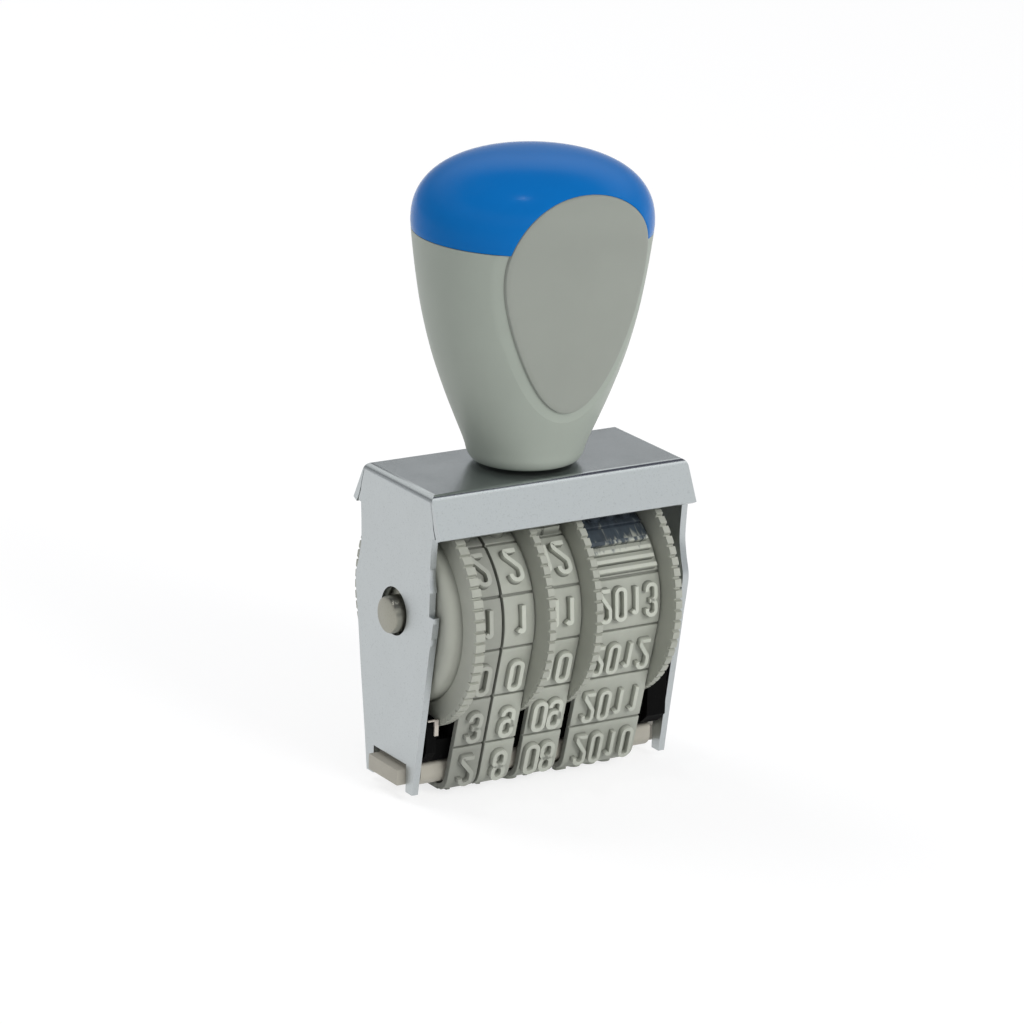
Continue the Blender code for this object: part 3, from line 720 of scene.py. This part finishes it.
def make_wheel(name, low, high, left, right):
    """A drum with its rim, as one outline that is turned about the axle, with rounded rim edges.

    The day tens rim is by the cheek, so a boss closes it. The others have their drum at the left.
    """
    neck, edge = rim_radius - tooth_depth, 0.12 * MM
    rim_points = [
        (neck - edge, right, 0), (neck, right - edge, 0), (neck, left + edge, 0), (neck - edge, left, 0),
    ]
    if name == "day_tens":
        boss, groove = 10.2 * MM, 0.22 * MM
        outline = [
            (axle_bore, high, 0), (drum_radius, high, 0.1 * MM), (drum_radius, right, 0.3 * MM), *rim_points,
            (boss + 1.5 * groove, left, 0), (boss + 1.2 * groove, left + groove, 0),
            (boss + 0.3 * groove, left + groove, 0), (boss, left, 0),
            (boss - 0.25 * MM, low, 1.2 * MM), (axle_bore, low, 0),
        ]
    else:
        hub = drum_radius - MM
        outline = [
            (axle_bore, high, 0), (hub, high, 0), (hub, right, 0), *rim_points,
            (drum_radius, left, 0.3 * MM), (drum_radius, low, 0.1 * MM), (axle_bore, low, 0),
        ]
    obj = turned(f"{name}_finger_wheel", rounded(outline, 5), 132, wheel_grey, "X", (0, 0, axle_height))
    values = {
        "Tooth Count": tooth_count, "Rim Radius": rim_radius, "Tooth Depth": tooth_depth,
        "Foot Length": 1.16 * MM, "Top Share": 0.74, "Rim Middle": (left + right) / 2,
        "Rim Width": (right - left) * 0.98, "Axle Height": axle_height, "Finish": wheel_grey.material,
    }
    freeze(with_tree(obj, teeth, values))
    return dress(obj, f"{name}_wheel", name)


for name, places in wheels.items():
    make_wheel(name, *(place * MM for place in places))


# %% [markdown]
# ## Rubber bands
# Each band is a closed belt round the drum and the bar's nose, with a flat pad for each of its
# 13 cells. The line that it follows is worked out once, as stretches of straight and arc.

# %% The belt's line
band_top = 1.4 * MM
base_thick, pad_thick, relief = 0.4 * MM, 0.3 * MM, 0.7 * MM
nose_radius, half_bar = 1.8 * MM, 5.0 * MM
belt_radius = 9.6 * MM
cells = 13


class Belt:
    """The line of a band's inner face, from the bottom's middle up the front and down the back."""

    def __init__(self):
        nose = Vector((nose_radius - 0.3 * MM - half_bar, band_top + nose_radius))
        hub = Vector((0, axle_height))
        between = hub - nose
        turn = math.acos((nose_radius - belt_radius) / between.length)
        lean = math.atan2(between.y, between.x) + turn
        slope = math.sqrt(between.length_squared - (nose_radius - belt_radius) ** 2)
        down = 1.5 * math.pi
        self.half = [
            ("line", Vector((0, band_top)), down, -nose.x),
            ("arc", nose, down, lean, nose_radius),
            ("line", nose + nose_radius * self.out(lean), lean, slope),
            ("arc", hub, lean, math.pi / 2, belt_radius),
        ]
        self.half_length = sum(self.length(piece) for piece in self.half)
        self.pitch = 2 * self.half_length / cells

    @staticmethod
    def out(angle):
        return Vector((math.cos(angle), math.sin(angle)))

    @staticmethod
    def length(piece):
        if piece[0] == "line":
            return piece[3]
        return (piece[2] - piece[3]) * (piece[4] + base_thick / 2)

    def at(self, run, lift):
        """The point this far along from the bottom, and its outward direction, lifted off the belt."""
        run %= 2 * self.half_length
        mirrored = run > self.half_length
        left = 2 * self.half_length - run if mirrored else run
        for piece in self.half:
            if left <= self.length(piece) or piece is self.half[-1]:
                break
            left -= self.length(piece)
        if piece[0] == "line":
            angle = piece[2]
            point = piece[1] + Vector((math.sin(angle), -math.cos(angle))) * left + self.out(angle) * lift
        else:
            angle = piece[2] - left / (piece[4] + base_thick / 2)
            point = piece[1] + self.out(angle) * (piece[4] + lift)
        out = self.out(angle)
        if mirrored:
            point.x, out.x = -point.x, -out.x
        return point, out


belt = Belt()
print("one cell of a band:", round(belt.pitch / MM, 2), "mm")

# %% [markdown]
# ## Type
# The characters are mirror writing that stands proud of the pads. Each is drawn as strokes
# in a box one wide and one high, and only the dashes of a blank cell reach far past it. A tree
# sweeps a trapezoid along them, wide at the foot and narrow on top, as moulded rubber type is.

# %% Strokes of the digits
soft, tight = 0.46, 0.2
strokes = {
    "0": [(True, [(0, 0, soft), (1, 0, soft), (1, 1, soft), (0, 1, soft)])],
    "1": [(False, [(0.12, 0.76, 0), (0.58, 1, tight), (0.58, 0, 0)])],
    "2": [(False, [
        (0, 0.78, 0), (0, 1, soft), (1, 1, soft), (1, 0.6, soft), (0, 0.14, tight), (0, 0, 0.05), (1, 0, 0),
    ])],
    "3": [
        (False, [(0, 0.78, 0), (0, 1, soft), (1, 1, soft), (1, 0.53, soft), (0.3, 0.53, 0)]),
        (False, [(0.4, 0.53, 0), (1, 0.53, soft), (1, 0, soft), (0, 0, soft), (0, 0.22, 0)]),
    ],
    "4": [(False, [(0.72, 0, 0), (0.72, 1, 0)]), (False, [(0.72, 1, 0), (0, 0.3, tight), (1.05, 0.3, 0)])],
    "5": [
        (False, [(1, 1, 0), (0.06, 1, tight), (0, 0.53, 0)]),
        (False, [(-0.18, 0.6, 0), (1, 0.6, soft), (1, 0, soft), (0, 0, soft), (0, 0.22, 0)]),
    ],
    "6": [
        (True, [(0, 0, soft), (1, 0, soft), (1, 0.58, soft), (0, 0.58, soft)]),
        (False, [(1, 0.78, 0), (1, 1, soft), (0, 1, soft), (0, 0.3, 0)]),
    ],
    "7": [(False, [(0, 1, 0), (1, 1, tight), (0.4, 0, 0)])],
    "8": [
        (True, [(0, 0, soft), (1, 0, soft), (1, 0.54, soft), (0, 0.54, soft)]),
        (True, [(0.03, 0.54, 0.44), (0.97, 0.54, 0.44), (0.97, 1, 0.44), (0.03, 1, 0.44)]),
    ],
    "9": [
        (True, [(0, 0.42, soft), (1, 0.42, soft), (1, 1, soft), (0, 1, soft)]),
        (False, [(0, 0.22, 0), (0, 0, soft), (1, 0, soft), (1, 0.7, 0)]),
    ],
    "-": [(False, [(-0.376, height, 0), (1.376, height, 0)]) for height in (0.26, 0.57, 0.88, 1.19)],
}
characters = sorted(strokes)
print("characters:", " ".join(characters))
type_height, rise, flank = 4.0 * MM, relief + 0.25 * MM, 0.14 * MM


# %% A tree that sweeps the strokes, and notes how high each point stands
def stroke_tree():
    tree, given = new_tree("type_from_strokes", {
        "Foot Width": "Float", "Face Width": "Float", "Rise": "Float", "Finish": "Material",
    })
    section = add_node(tree, "GeometryNodeCurvePrimitiveQuadrilateral", {"mode": "TRAPEZOID"}, {
        "Height": given["Rise"], "Bottom Width": given["Face Width"], "Top Width": given["Foot Width"],
        "Offset": 0.0,
    })
    swept = add_node(tree, "GeometryNodeCurveToMesh", None, {
        "Curve": given["Geometry"], "Profile Curve": section.outputs[0], "Fill Caps": True,
    })
    position = tree.nodes.new("GeometryNodeInputPosition").outputs[0]
    # How high each point stands, from foot to face: the rubber paints shade at the type's feet from it.
    share = math_node(tree, "DIVIDE", split(tree, position)["Z"], given["Rise"])
    noted = add_node(tree, "GeometryNodeStoreNamedAttribute", {"data_type": "FLOAT", "domain": "POINT"}, {
        "Geometry": swept.outputs[0], "Name": "stands", "Value": share,
    })
    end_tree(tree, [noted.outputs[0]], given["Finish"])
    return tree


sweep = stroke_tree()
print(f"{sweep.name}: {len(sweep.nodes)} nodes")


def character_curve(char, width, height):
    """The strokes of one character as curves, written mirrored and centred on its box.

    Each further stroke is a hair lower than the one before, so no two faces lie in one plane.
    """
    curve = bpy.data.curves.new(f"strokes_{char}", "CURVE")
    curve.dimensions = "2D"
    for number, (closed, corners) in enumerate(strokes[char]):
        mirrored = [((x - 0.5) * width, (0.5 - y) * height, r * width) for x, y, r in corners]
        points = rounded(mirrored, 4, closed)
        spline = curve.splines.new("POLY")
        spline.points.add(len(points) - 1)
        for point, (x, y) in zip(spline.points, points):
            point.co = (x, y, 0, 1)
            point.radius = 1 - 0.025 * number
        spline.use_cyclic_u = closed
    return curve


def character_set(name, width, face, finish):
    """A collection with a mesh of each character, in the order of their names."""
    group = bpy.data.collections.new(name)
    values = {"Foot Width": face + flank, "Face Width": face, "Rise": rise, "Finish": finish.material}
    for number, char in enumerate(characters):
        curve = character_curve(char, width - face, type_height - face)
        source = bpy.data.objects.new("strokes", curve)
        bpy.context.scene.collection.objects.link(source)
        mesh = plain_mesh(with_tree(source, sweep, values))
        bpy.data.objects.remove(source, do_unlink=True)
        group.objects.link(bpy.data.objects.new(f"{name}_{number:02d}", mesh))
    return group


# %% A tree that sets the characters on a band
def setting_tree():
    tree, given = new_tree("type_on_a_band", {
        "Places": "Object", "Characters": "Collection", "Finish": "Material",
    })
    places = add_node(tree, "GeometryNodeObjectInfo", None, {"Object": given["Places"]})
    choices = add_node(tree, "GeometryNodeCollectionInfo", None, {
        "Collection": given["Characters"], "Separate Children": True,
    })
    which = add_node(tree, "GeometryNodeInputNamedAttribute", {"data_type": "INT"}, {"Name": "character"})
    turn = add_node(tree, "GeometryNodeInputNamedAttribute", {"data_type": "FLOAT_VECTOR"}, {"Name": "turn"})
    copies = add_node(tree, "GeometryNodeInstanceOnPoints", None, {
        "Points": places.outputs["Geometry"], "Instance": choices.outputs[0], "Pick Instance": True,
        "Instance Index": which.outputs[0], "Rotation": turn.outputs[0],
    })
    plain = add_node(tree, "GeometryNodeRealizeInstances", None, {"Geometry": copies.outputs[0]})
    end_tree(tree, [given["Geometry"], plain.outputs[0]], given["Finish"])
    return tree


setting = setting_tree()
print(f"{setting.name}: {len(setting.nodes)} nodes")


# %% Where the cells lie: a band has slipped a little along its belt, up on both sides
pad_slips = ((0, 0), (0.5, 0.8), (1.5, 1.0), (3.5, 1.0), (4.5, 0.7), (5.5, 0.4), (6.5, 0))
type_slips = ((0, 1.0), (1, 1.1), (2, 0.6), (3, 0.6), (4, 1.0), (5, 0.5), (6, 0), (6.5, 0))


def run_of(cell, slips):
    """How far along the belt a count of cells lies."""
    from_bottom = min(abs(cell), cells - abs(cell))
    slip = float(np.interp(from_bottom, *zip(*slips))) * MM
    return cell * belt.pitch + (slip if 0 <= cell <= cells / 2 else -slip)


# %% The strip of a band, with a rounded pad for each cell
def band_strip(name, low, high):
    face, gap_floor, edge = base_thick + pad_thick, base_thick + 0.02 * MM, 0.14 * MM
    half_gap, flank_run, brow = 0.12 * MM, 0.03 * MM, face - 0.06 * MM
    # Levels of painted shade for the rubber: lowest in the seams and on the band's sides, higher on the
    # pads, highest on the type's faces.
    painted_seam_shade, painted_pad_shade = -0.24, 0.14
    stations = []
    for cell in range(cells):
        start, end = run_of(cell - 0.5, pad_slips), run_of(cell + 0.5, pad_slips)
        middle, pad = (start + end) / 2, (end - start) / 2 - half_gap
        stations += [
            (start, base_thick, painted_seam_shade), (middle - pad, gap_floor, painted_seam_shade),
            (middle - pad + flank_run, brow, painted_pad_shade),
            *((middle + pad * share, face, painted_pad_shade) for share in np.linspace(-0.96, 0.96, 13)),
            (middle + pad - flank_run, brow, painted_pad_shade), (middle + pad, gap_floor, painted_seam_shade),
        ]
    bm = bmesh.new()
    stands = bm.verts.layers.float.new("stands")
    rings = []
    for run, lift, tone in stations:
        ring = []
        for x, up, side in (
            (low, 0, True), (low, lift - edge, True), (low + 0.3 * edge, lift - 0.3 * edge, False),
            (low + edge, lift, False), (high - edge, lift, False),
            (high - 0.3 * edge, lift - 0.3 * edge, False), (high, lift - edge, True), (high, 0, True),
        ):
            point, out = belt.at(run, up)
            ring.append(bm.verts.new((x, *point)))
            ring[-1][stands] = painted_seam_shade if side else tone
        rings.append(ring)
    skin(bm, rings + rings[:1])
    bmesh.ops.recalc_face_normals(bm, faces=bm.faces)
    return new_piece(name, bm)


# %% Four bands with their type
wide_set = character_set("wide_type", 1.9 * MM, 0.5 * MM, band_rubber)
year_set = character_set("year_type", 1.6 * MM, 0.43 * MM, inked_rubber)
months = ["07", "08", "09", "10", "11", "12", "--", "01", "02", "03", "04", "05", "06"]
years = [*map(str, range(2009, 2014)), "----", *map(str, range(2002, 2009))]
bands = {
    "day_tens": (-12.9, -9.02, 0, 0, wide_set, painted_shade_rubber, list("1230123- 0123")),
    "day_units": (-8.7, -4.7, 0, 0, wide_set, band_rubber, list("7890123- 4566")),
    "month": (-3.6, 1.5, 2.0, -0.3, wide_set, band_rubber, months),
    "year": (2.6, 12.1, 2.05, 0, year_set, inked_rubber, years),
}


def type_places(name, middle, pitch, cells_text):
    """A point for each character, with its number and its turn, along the band."""
    points, numbers, turns = [], [], []
    for cell, text in enumerate(cells_text):
        place, out = belt.at(run_of(cell, type_slips), base_thick + pad_thick + relief - rise / 2)
        for i, char in enumerate(text):
            if char == " ":
                continue
            x = middle + (i - (len(text) - 1) / 2) * pitch
            points.append((x, *place))
            numbers.append(characters.index(char))
            turns.append((math.atan2(-out.x, out.y), 0, 0))
    mesh = bpy.data.meshes.new(f"{name}_places")
    mesh.from_pydata(points, [], [])
    mesh.attributes.new("character", "INT", "POINT").data.foreach_set("value", numbers)
    mesh.attributes.new("turn", "FLOAT_VECTOR", "POINT").data.foreach_set("vector", np.ravel(turns))
    obj = bpy.data.objects.new(f"{name}_places", mesh)
    bpy.context.scene.collection.objects.link(obj)
    return obj


for name, (low, high, pitch, shift, faces, finish, cells_text) in bands.items():
    obj = band_strip(f"{name}_rubber_band", low * MM, high * MM)
    places = type_places(name, ((low + high) / 2 + shift) * MM, pitch * MM, cells_text)
    values = {"Places": places, "Characters": faces, "Finish": finish.material}
    freeze(with_tree(obj, setting, values))
    bpy.data.objects.remove(places, do_unlink=True)
    crease(obj.data, 32)
    dress(obj, f"{name}_band")


# %% [markdown]
# ## The handle
# The handle is turned: a waisted grey body, and a blue cap that closes it. A label plate is
# let into the front of both, in a close pocket with a shallow ledge round it. The plate is bare.
# The handle is a little flatter from front to back.

# %% Sides of the handle
handle_x, handle_radius, flat = -0.3 * MM, 13.85 * MM, 0.95
seam, joint = 27.1 * MM, 0.05 * MM
widest, cap_top = 27.9 * MM, 36.1 * MM
side_shares = (
    (0, 0.412), (0.014, 0.452), (0.042, 0.486), (0.10, 0.523), (0.288, 0.674),
    (0.474, 0.802), (0.661, 0.895), (0.847, 0.957), (1, 0.995),
)
base = 0.3 * MM
side = smooth_through([(w * handle_radius, base + up * (seam - base)) for up, w in side_shares], 5)
dome_steps, roundness = 28, 2 / 2.4
dome = []
for step in range(dome_steps + 1):
    angle = math.pi / 2 * step / dome_steps
    dome.append((
        handle_radius * math.sin(angle) ** roundness,
        widest + (cap_top - widest) * math.cos(angle) ** roundness,
    ))
outside = np.array([*side, *reversed(dome)])
print("handle:", round(2 * handle_radius / MM, 1), "mm wide,", round(cap_top / MM, 1), "mm tall")


def radius_at(height):
    return float(np.interp(height, outside[:, 1], outside[:, 0]))


# %% The label's outline and its crowned surface
label_middle, label_half, label_wide = 20.55 * MM, 12.75 * MM, 8.6 * MM


def widening(up):
    """How the label widens upwards: up goes from -1 at its foot to 1 at its top."""
    return 1 + 0.36 * up + 0.1 * up**2


def label_ring(grow, steps=96):
    """Points (x, height) round the label, moved out by grow."""
    angles = np.linspace(0, math.tau, steps, endpoint=False)
    rise_shares = -np.cos(angles)
    x = label_wide * np.sin(angles) * widening(rise_shares)
    z = label_middle + label_half * rise_shares
    ahead_x, ahead_z = np.roll(x, -1) - np.roll(x, 1), np.roll(z, -1) - np.roll(z, 1)
    long = np.hypot(ahead_x, ahead_z)
    return np.column_stack([x + grow * ahead_z / long, z - grow * ahead_x / long])


def crowned(x, height):
    """How far forward the label's front is at a place."""
    proud, crown_radius = 0.15 * MM, 45 * MM
    up = max(-1.0, min(1.0, (height - label_middle) / label_half))
    half = label_wide * math.sqrt(1 - up * up) * widening(up)
    return handle_front(half, height) + proud + (half**2 - x**2) / (2 * crown_radius)


def handle_front(x, height):
    return math.sqrt(max(radius_at(height) ** 2 - x**2, 0)) * flat


def label_solid(name, loops, finish=None):
    """Closes a stack of loops of (x, depth forward, height) into a solid."""
    bm = bmesh.new()
    rings = [[bm.verts.new((handle_x + x, -y, plate_top + z)) for x, y, z in loop] for loop in loops]
    skin(bm, rings)
    bm.faces.new(rings[0])
    bm.faces.new(reversed(rings[-1]))
    bmesh.ops.recalc_face_normals(bm, faces=bm.faces)
    return new_piece(name, bm, finish)


def sheet_loops(ring, shares, drop):
    """Loops that shrink a ring towards the label's middle, on the crowned surface less a drop."""
    loops = []
    for share in shares:
        scaled = [(x * share, label_middle + (z - label_middle) * share) for x, z in ring]
        loops.append([(x, crowned(x, z) - drop, z) for x, z in scaled])
    return loops


# %% The label plate and its pocket
def make_label():
    thick, wall, edge_drop, edge_in, face_in = (part * MM for part in (1.2, 0.3, 0.09, 0.07, 0.25))
    outer = label_ring(0)
    loops = sheet_loops(outer, np.linspace(0.1, 1, 8), thick)
    loops.append([(x, crowned(x, z) - wall, z) for x, z in outer])
    loops.append([(x, crowned(x, z) - edge_drop, z) for x, z in label_ring(-edge_in)])
    loops += sheet_loops(label_ring(-face_in), np.linspace(1, 0.05, 20), 0)
    obj = label_solid("label_plate_bare", loops, label_grey)
    return dress(obj, "label_plate")


def label_pocket(ledge_width, ledge_depth):
    """What is cut from the handle for the label: a close pocket, with a shallow ledge round it."""
    gap, above, deep, far_out = 0.015 * MM, 0.03 * MM, 1.5 * MM, 25 * MM
    loops = sheet_loops(label_ring(gap), np.linspace(0.1, 1, 8), deep)
    for share in (0, 0.35, 0.7, 1):
        depth = above - (ledge_depth + above) * (1 - share)
        ring = label_ring(gap + ledge_width * share)
        loops.append([(x, handle_front(x, z) + depth, z) for x, z in ring])
    loops.append([(x, far_out, z) for x, z in ring])
    return label_solid("label_pocket", loops)


make_label()


# %% The body and the cap
def turned_handle(name, profile, finish):
    obj = turned(name, profile, 160, finish)
    obj.data.transform(Matrix.Diagonal((1, flat, 1, 1)))
    obj.data.transform(Matrix.Translation((handle_x, 0, plate_top)))
    return obj


def make_body():
    foot_edge = [(side[0][0] - 0.25 * MM, base), (side[0][0] - 0.08 * MM, base + 0.06 * MM)]
    top_edge = [(side[-1][0] - 0.02 * MM, seam - 0.02 * MM), (side[-1][0] - 0.08 * MM, seam)]
    low_side = [(r, z) for r, z in side if z > base + 0.25 * MM and z < seam - 0.15 * MM]
    bore, plug_bore, bore_step = 2.3 * MM, 3.4 * MM, 14 * MM
    profile = [
        (bore, base), *foot_edge, *low_side, *top_edge,
        (plug_bore, seam), (plug_bore, bore_step), (bore, bore_step),
    ]
    body = turned_handle("handle_grip", profile, handle_grey)
    carve(body, label_pocket(1.25 * MM, 0.36 * MM))
    crease(body.data, 12)
    return dress(body, "handle_body")


def make_cap():
    low, rim = seam + joint, side[-1][0]
    plug, plug_end = 3.1 * MM, low - 6 * MM
    profile = [
        (0, plug_end), (plug, plug_end), (plug, low),
        (rim - 0.08 * MM, low), (rim - 0.02 * MM, low + 0.02 * MM), (rim + 0.005 * MM, low + 0.12 * MM),
        *((r, z) for r, z in reversed(dome) if z > low + 0.2 * MM),
    ]
    cap = turned_handle("handle_cap_blue", profile, cap_blue)
    carve(cap, label_pocket(0.15 * MM, 0.05 * MM))
    return dress(cap, "handle_cap")


make_body()
make_cap()


# %% [markdown]
# ## Light, floor and camera
# The stamp stands on white paper under soft studio light. The room is brightest at half height
# and to the right, and dark overhead, which is what gives bent metal its dark and light lines.
# To the camera and in reflections the floor is mostly plain white, but it keeps a soft shadow.
# Two large soft lights shape the handle and are kept out of reflections, and a tiny one
# overhead gives the cap its glint. The camera is far off with a long lens, so upright edges
# stay nearly parallel.

# %% Floor and light
def rays_seen(tree, *kinds):
    """1 where a light ray is of one of these kinds, and 0 elsewhere."""
    path = tree.nodes.new("ShaderNodeLightPath").outputs
    total = path[kinds[0]]
    for kind in kinds[1:]:
        total = math_node(tree, "ADD", total, path[kind])
    return total


def make_floor():
    half_floor, glow, white_share = 1.5, 1.1, 0.7
    bm = bmesh.new()
    bmesh.ops.create_grid(bm, x_segments=1, y_segments=1, size=half_floor)
    floor = new_piece("paper_floor", bm)
    paper = Finish("white_paper", (0.9, 0.9, 0.9), 0.9, gloss=0.0)
    tree = paper.tree
    white = add_node(tree, "ShaderNodeEmission", None, {"Color": (1, 1, 1, 1), "Strength": glow})
    seen = rays_seen(tree, "Is Camera Ray", "Is Glossy Ray", "Is Transmission Ray")
    share = math_node(tree, "MULTIPLY", seen, white_share)
    both = add_node(tree, "ShaderNodeMixShader", None, {
        0: share, 1: paper.shader.outputs[0], 2: white.outputs[0],
    })
    join(tree, both.outputs[0], tree.nodes["Material Output"].inputs["Surface"])
    floor.data.materials.append(paper.material)
    return floor


def make_world():
    """A studio whose brightness depends on height and side, with a plain white backdrop."""
    world = bpy.data.worlds.new("studio")
    bpy.context.scene.world = world
    world.use_nodes = True
    tree = world.node_tree
    brightest_side, side_gain, room_light = (0.75, -0.66, 0), 0.28, 1.17
    direction = tree.nodes.new("ShaderNodeTexCoord").outputs["Generated"]
    walls = add_node(tree, "ShaderNodeValToRGB", {"stops": [
        (0.0, (0.5, 0.51, 0.53, 1)), (1.0, (0.05, 0.05, 0.07, 1)), (0.28, (0.3, 0.31, 0.32, 1)),
        (0.5, (0.97, 0.98, 0.98, 1)), (0.65, (1.0, 1.0, 1.0, 1)), (0.76, (0.07, 0.07, 0.1, 1)),
    ]}, {"Fac": split(tree, direction)["Z"]})
    side = add_node(tree, "ShaderNodeVectorMath", {"operation": "DOT_PRODUCT"}, {
        0: direction, 1: brightest_side,
    })
    strength = math_node(tree, "MULTIPLY_ADD", side.outputs["Value"], side_gain, room_light)
    background = tree.nodes["Background"]
    join(tree, walls.outputs["Color"], background.inputs["Color"])
    join(tree, strength, background.inputs["Strength"])
    plain = add_node(tree, "ShaderNodeBackground", None, {"Color": (1, 1, 1, 1), "Strength": 1.0})
    seen = rays_seen(tree, "Is Camera Ray", "Is Transmission Ray")
    both = add_node(tree, "ShaderNodeMixShader", None, {
        0: seen, 1: background.outputs[0], 2: plain.outputs[0],
    })
    join(tree, both.outputs[0], tree.nodes["World Output"].inputs["Surface"])


def area_light(name, place, target, size, power):
    light = bpy.data.lights.new(name, "AREA")
    light.shape = "DISK"
    light.size = size
    light.energy = power
    obj = bpy.data.objects.new(name, light)
    bpy.context.scene.collection.objects.link(obj)
    obj.location = place
    obj.rotation_euler = (Vector(target) - Vector(place)).to_track_quat("-Z", "Y").to_euler()
    return obj


make_floor()
make_world()
key = area_light("key", (0.135, -0.79, 0.44), (0, 0, 0.035), 0.3, 3.5)
softbox = area_light("softbox", (-0.216, 0.477, 0.75), (0, 0, 0.06), 0.45, 2.4)
for light in (key, softbox):
    light.visible_glossy = False
area_light("glint", (-0.06, -0.04, 0.55), (-0.007, -0.009, 0.07), 0.02, 0.16)
print("lights:", sorted(light.name for light in bpy.data.lights))


# %% Camera
def make_camera():
    target, distance, focal_length = Vector((-0.00174, 0, 0.03099)), 0.6192, 192.42
    back = Vector((-0.5116, -0.8062, 0.2973)).normalized()
    right = Vector((0.8443, -0.5358, 0)).normalized()
    up = back.cross(right)
    roll = math.radians(1.933)
    across = right * math.cos(roll) + up * math.sin(roll)
    above = up * math.cos(roll) - right * math.sin(roll)
    lens = bpy.data.cameras.new("camera")
    lens.lens = focal_length
    lens.clip_start = 0.01
    obj = bpy.data.objects.new("camera", lens)
    bpy.context.scene.collection.objects.link(obj)
    turn = Matrix((across, above, back)).transposed().to_4x4()
    obj.matrix_world = Matrix.Translation(target + back * distance) @ turn
    bpy.context.scene.camera = obj
    bpy.context.scene.view_settings.view_transform = "Standard"
    print(f"camera: {focal_length} mm lens, {distance} m from the stamp")


make_camera()
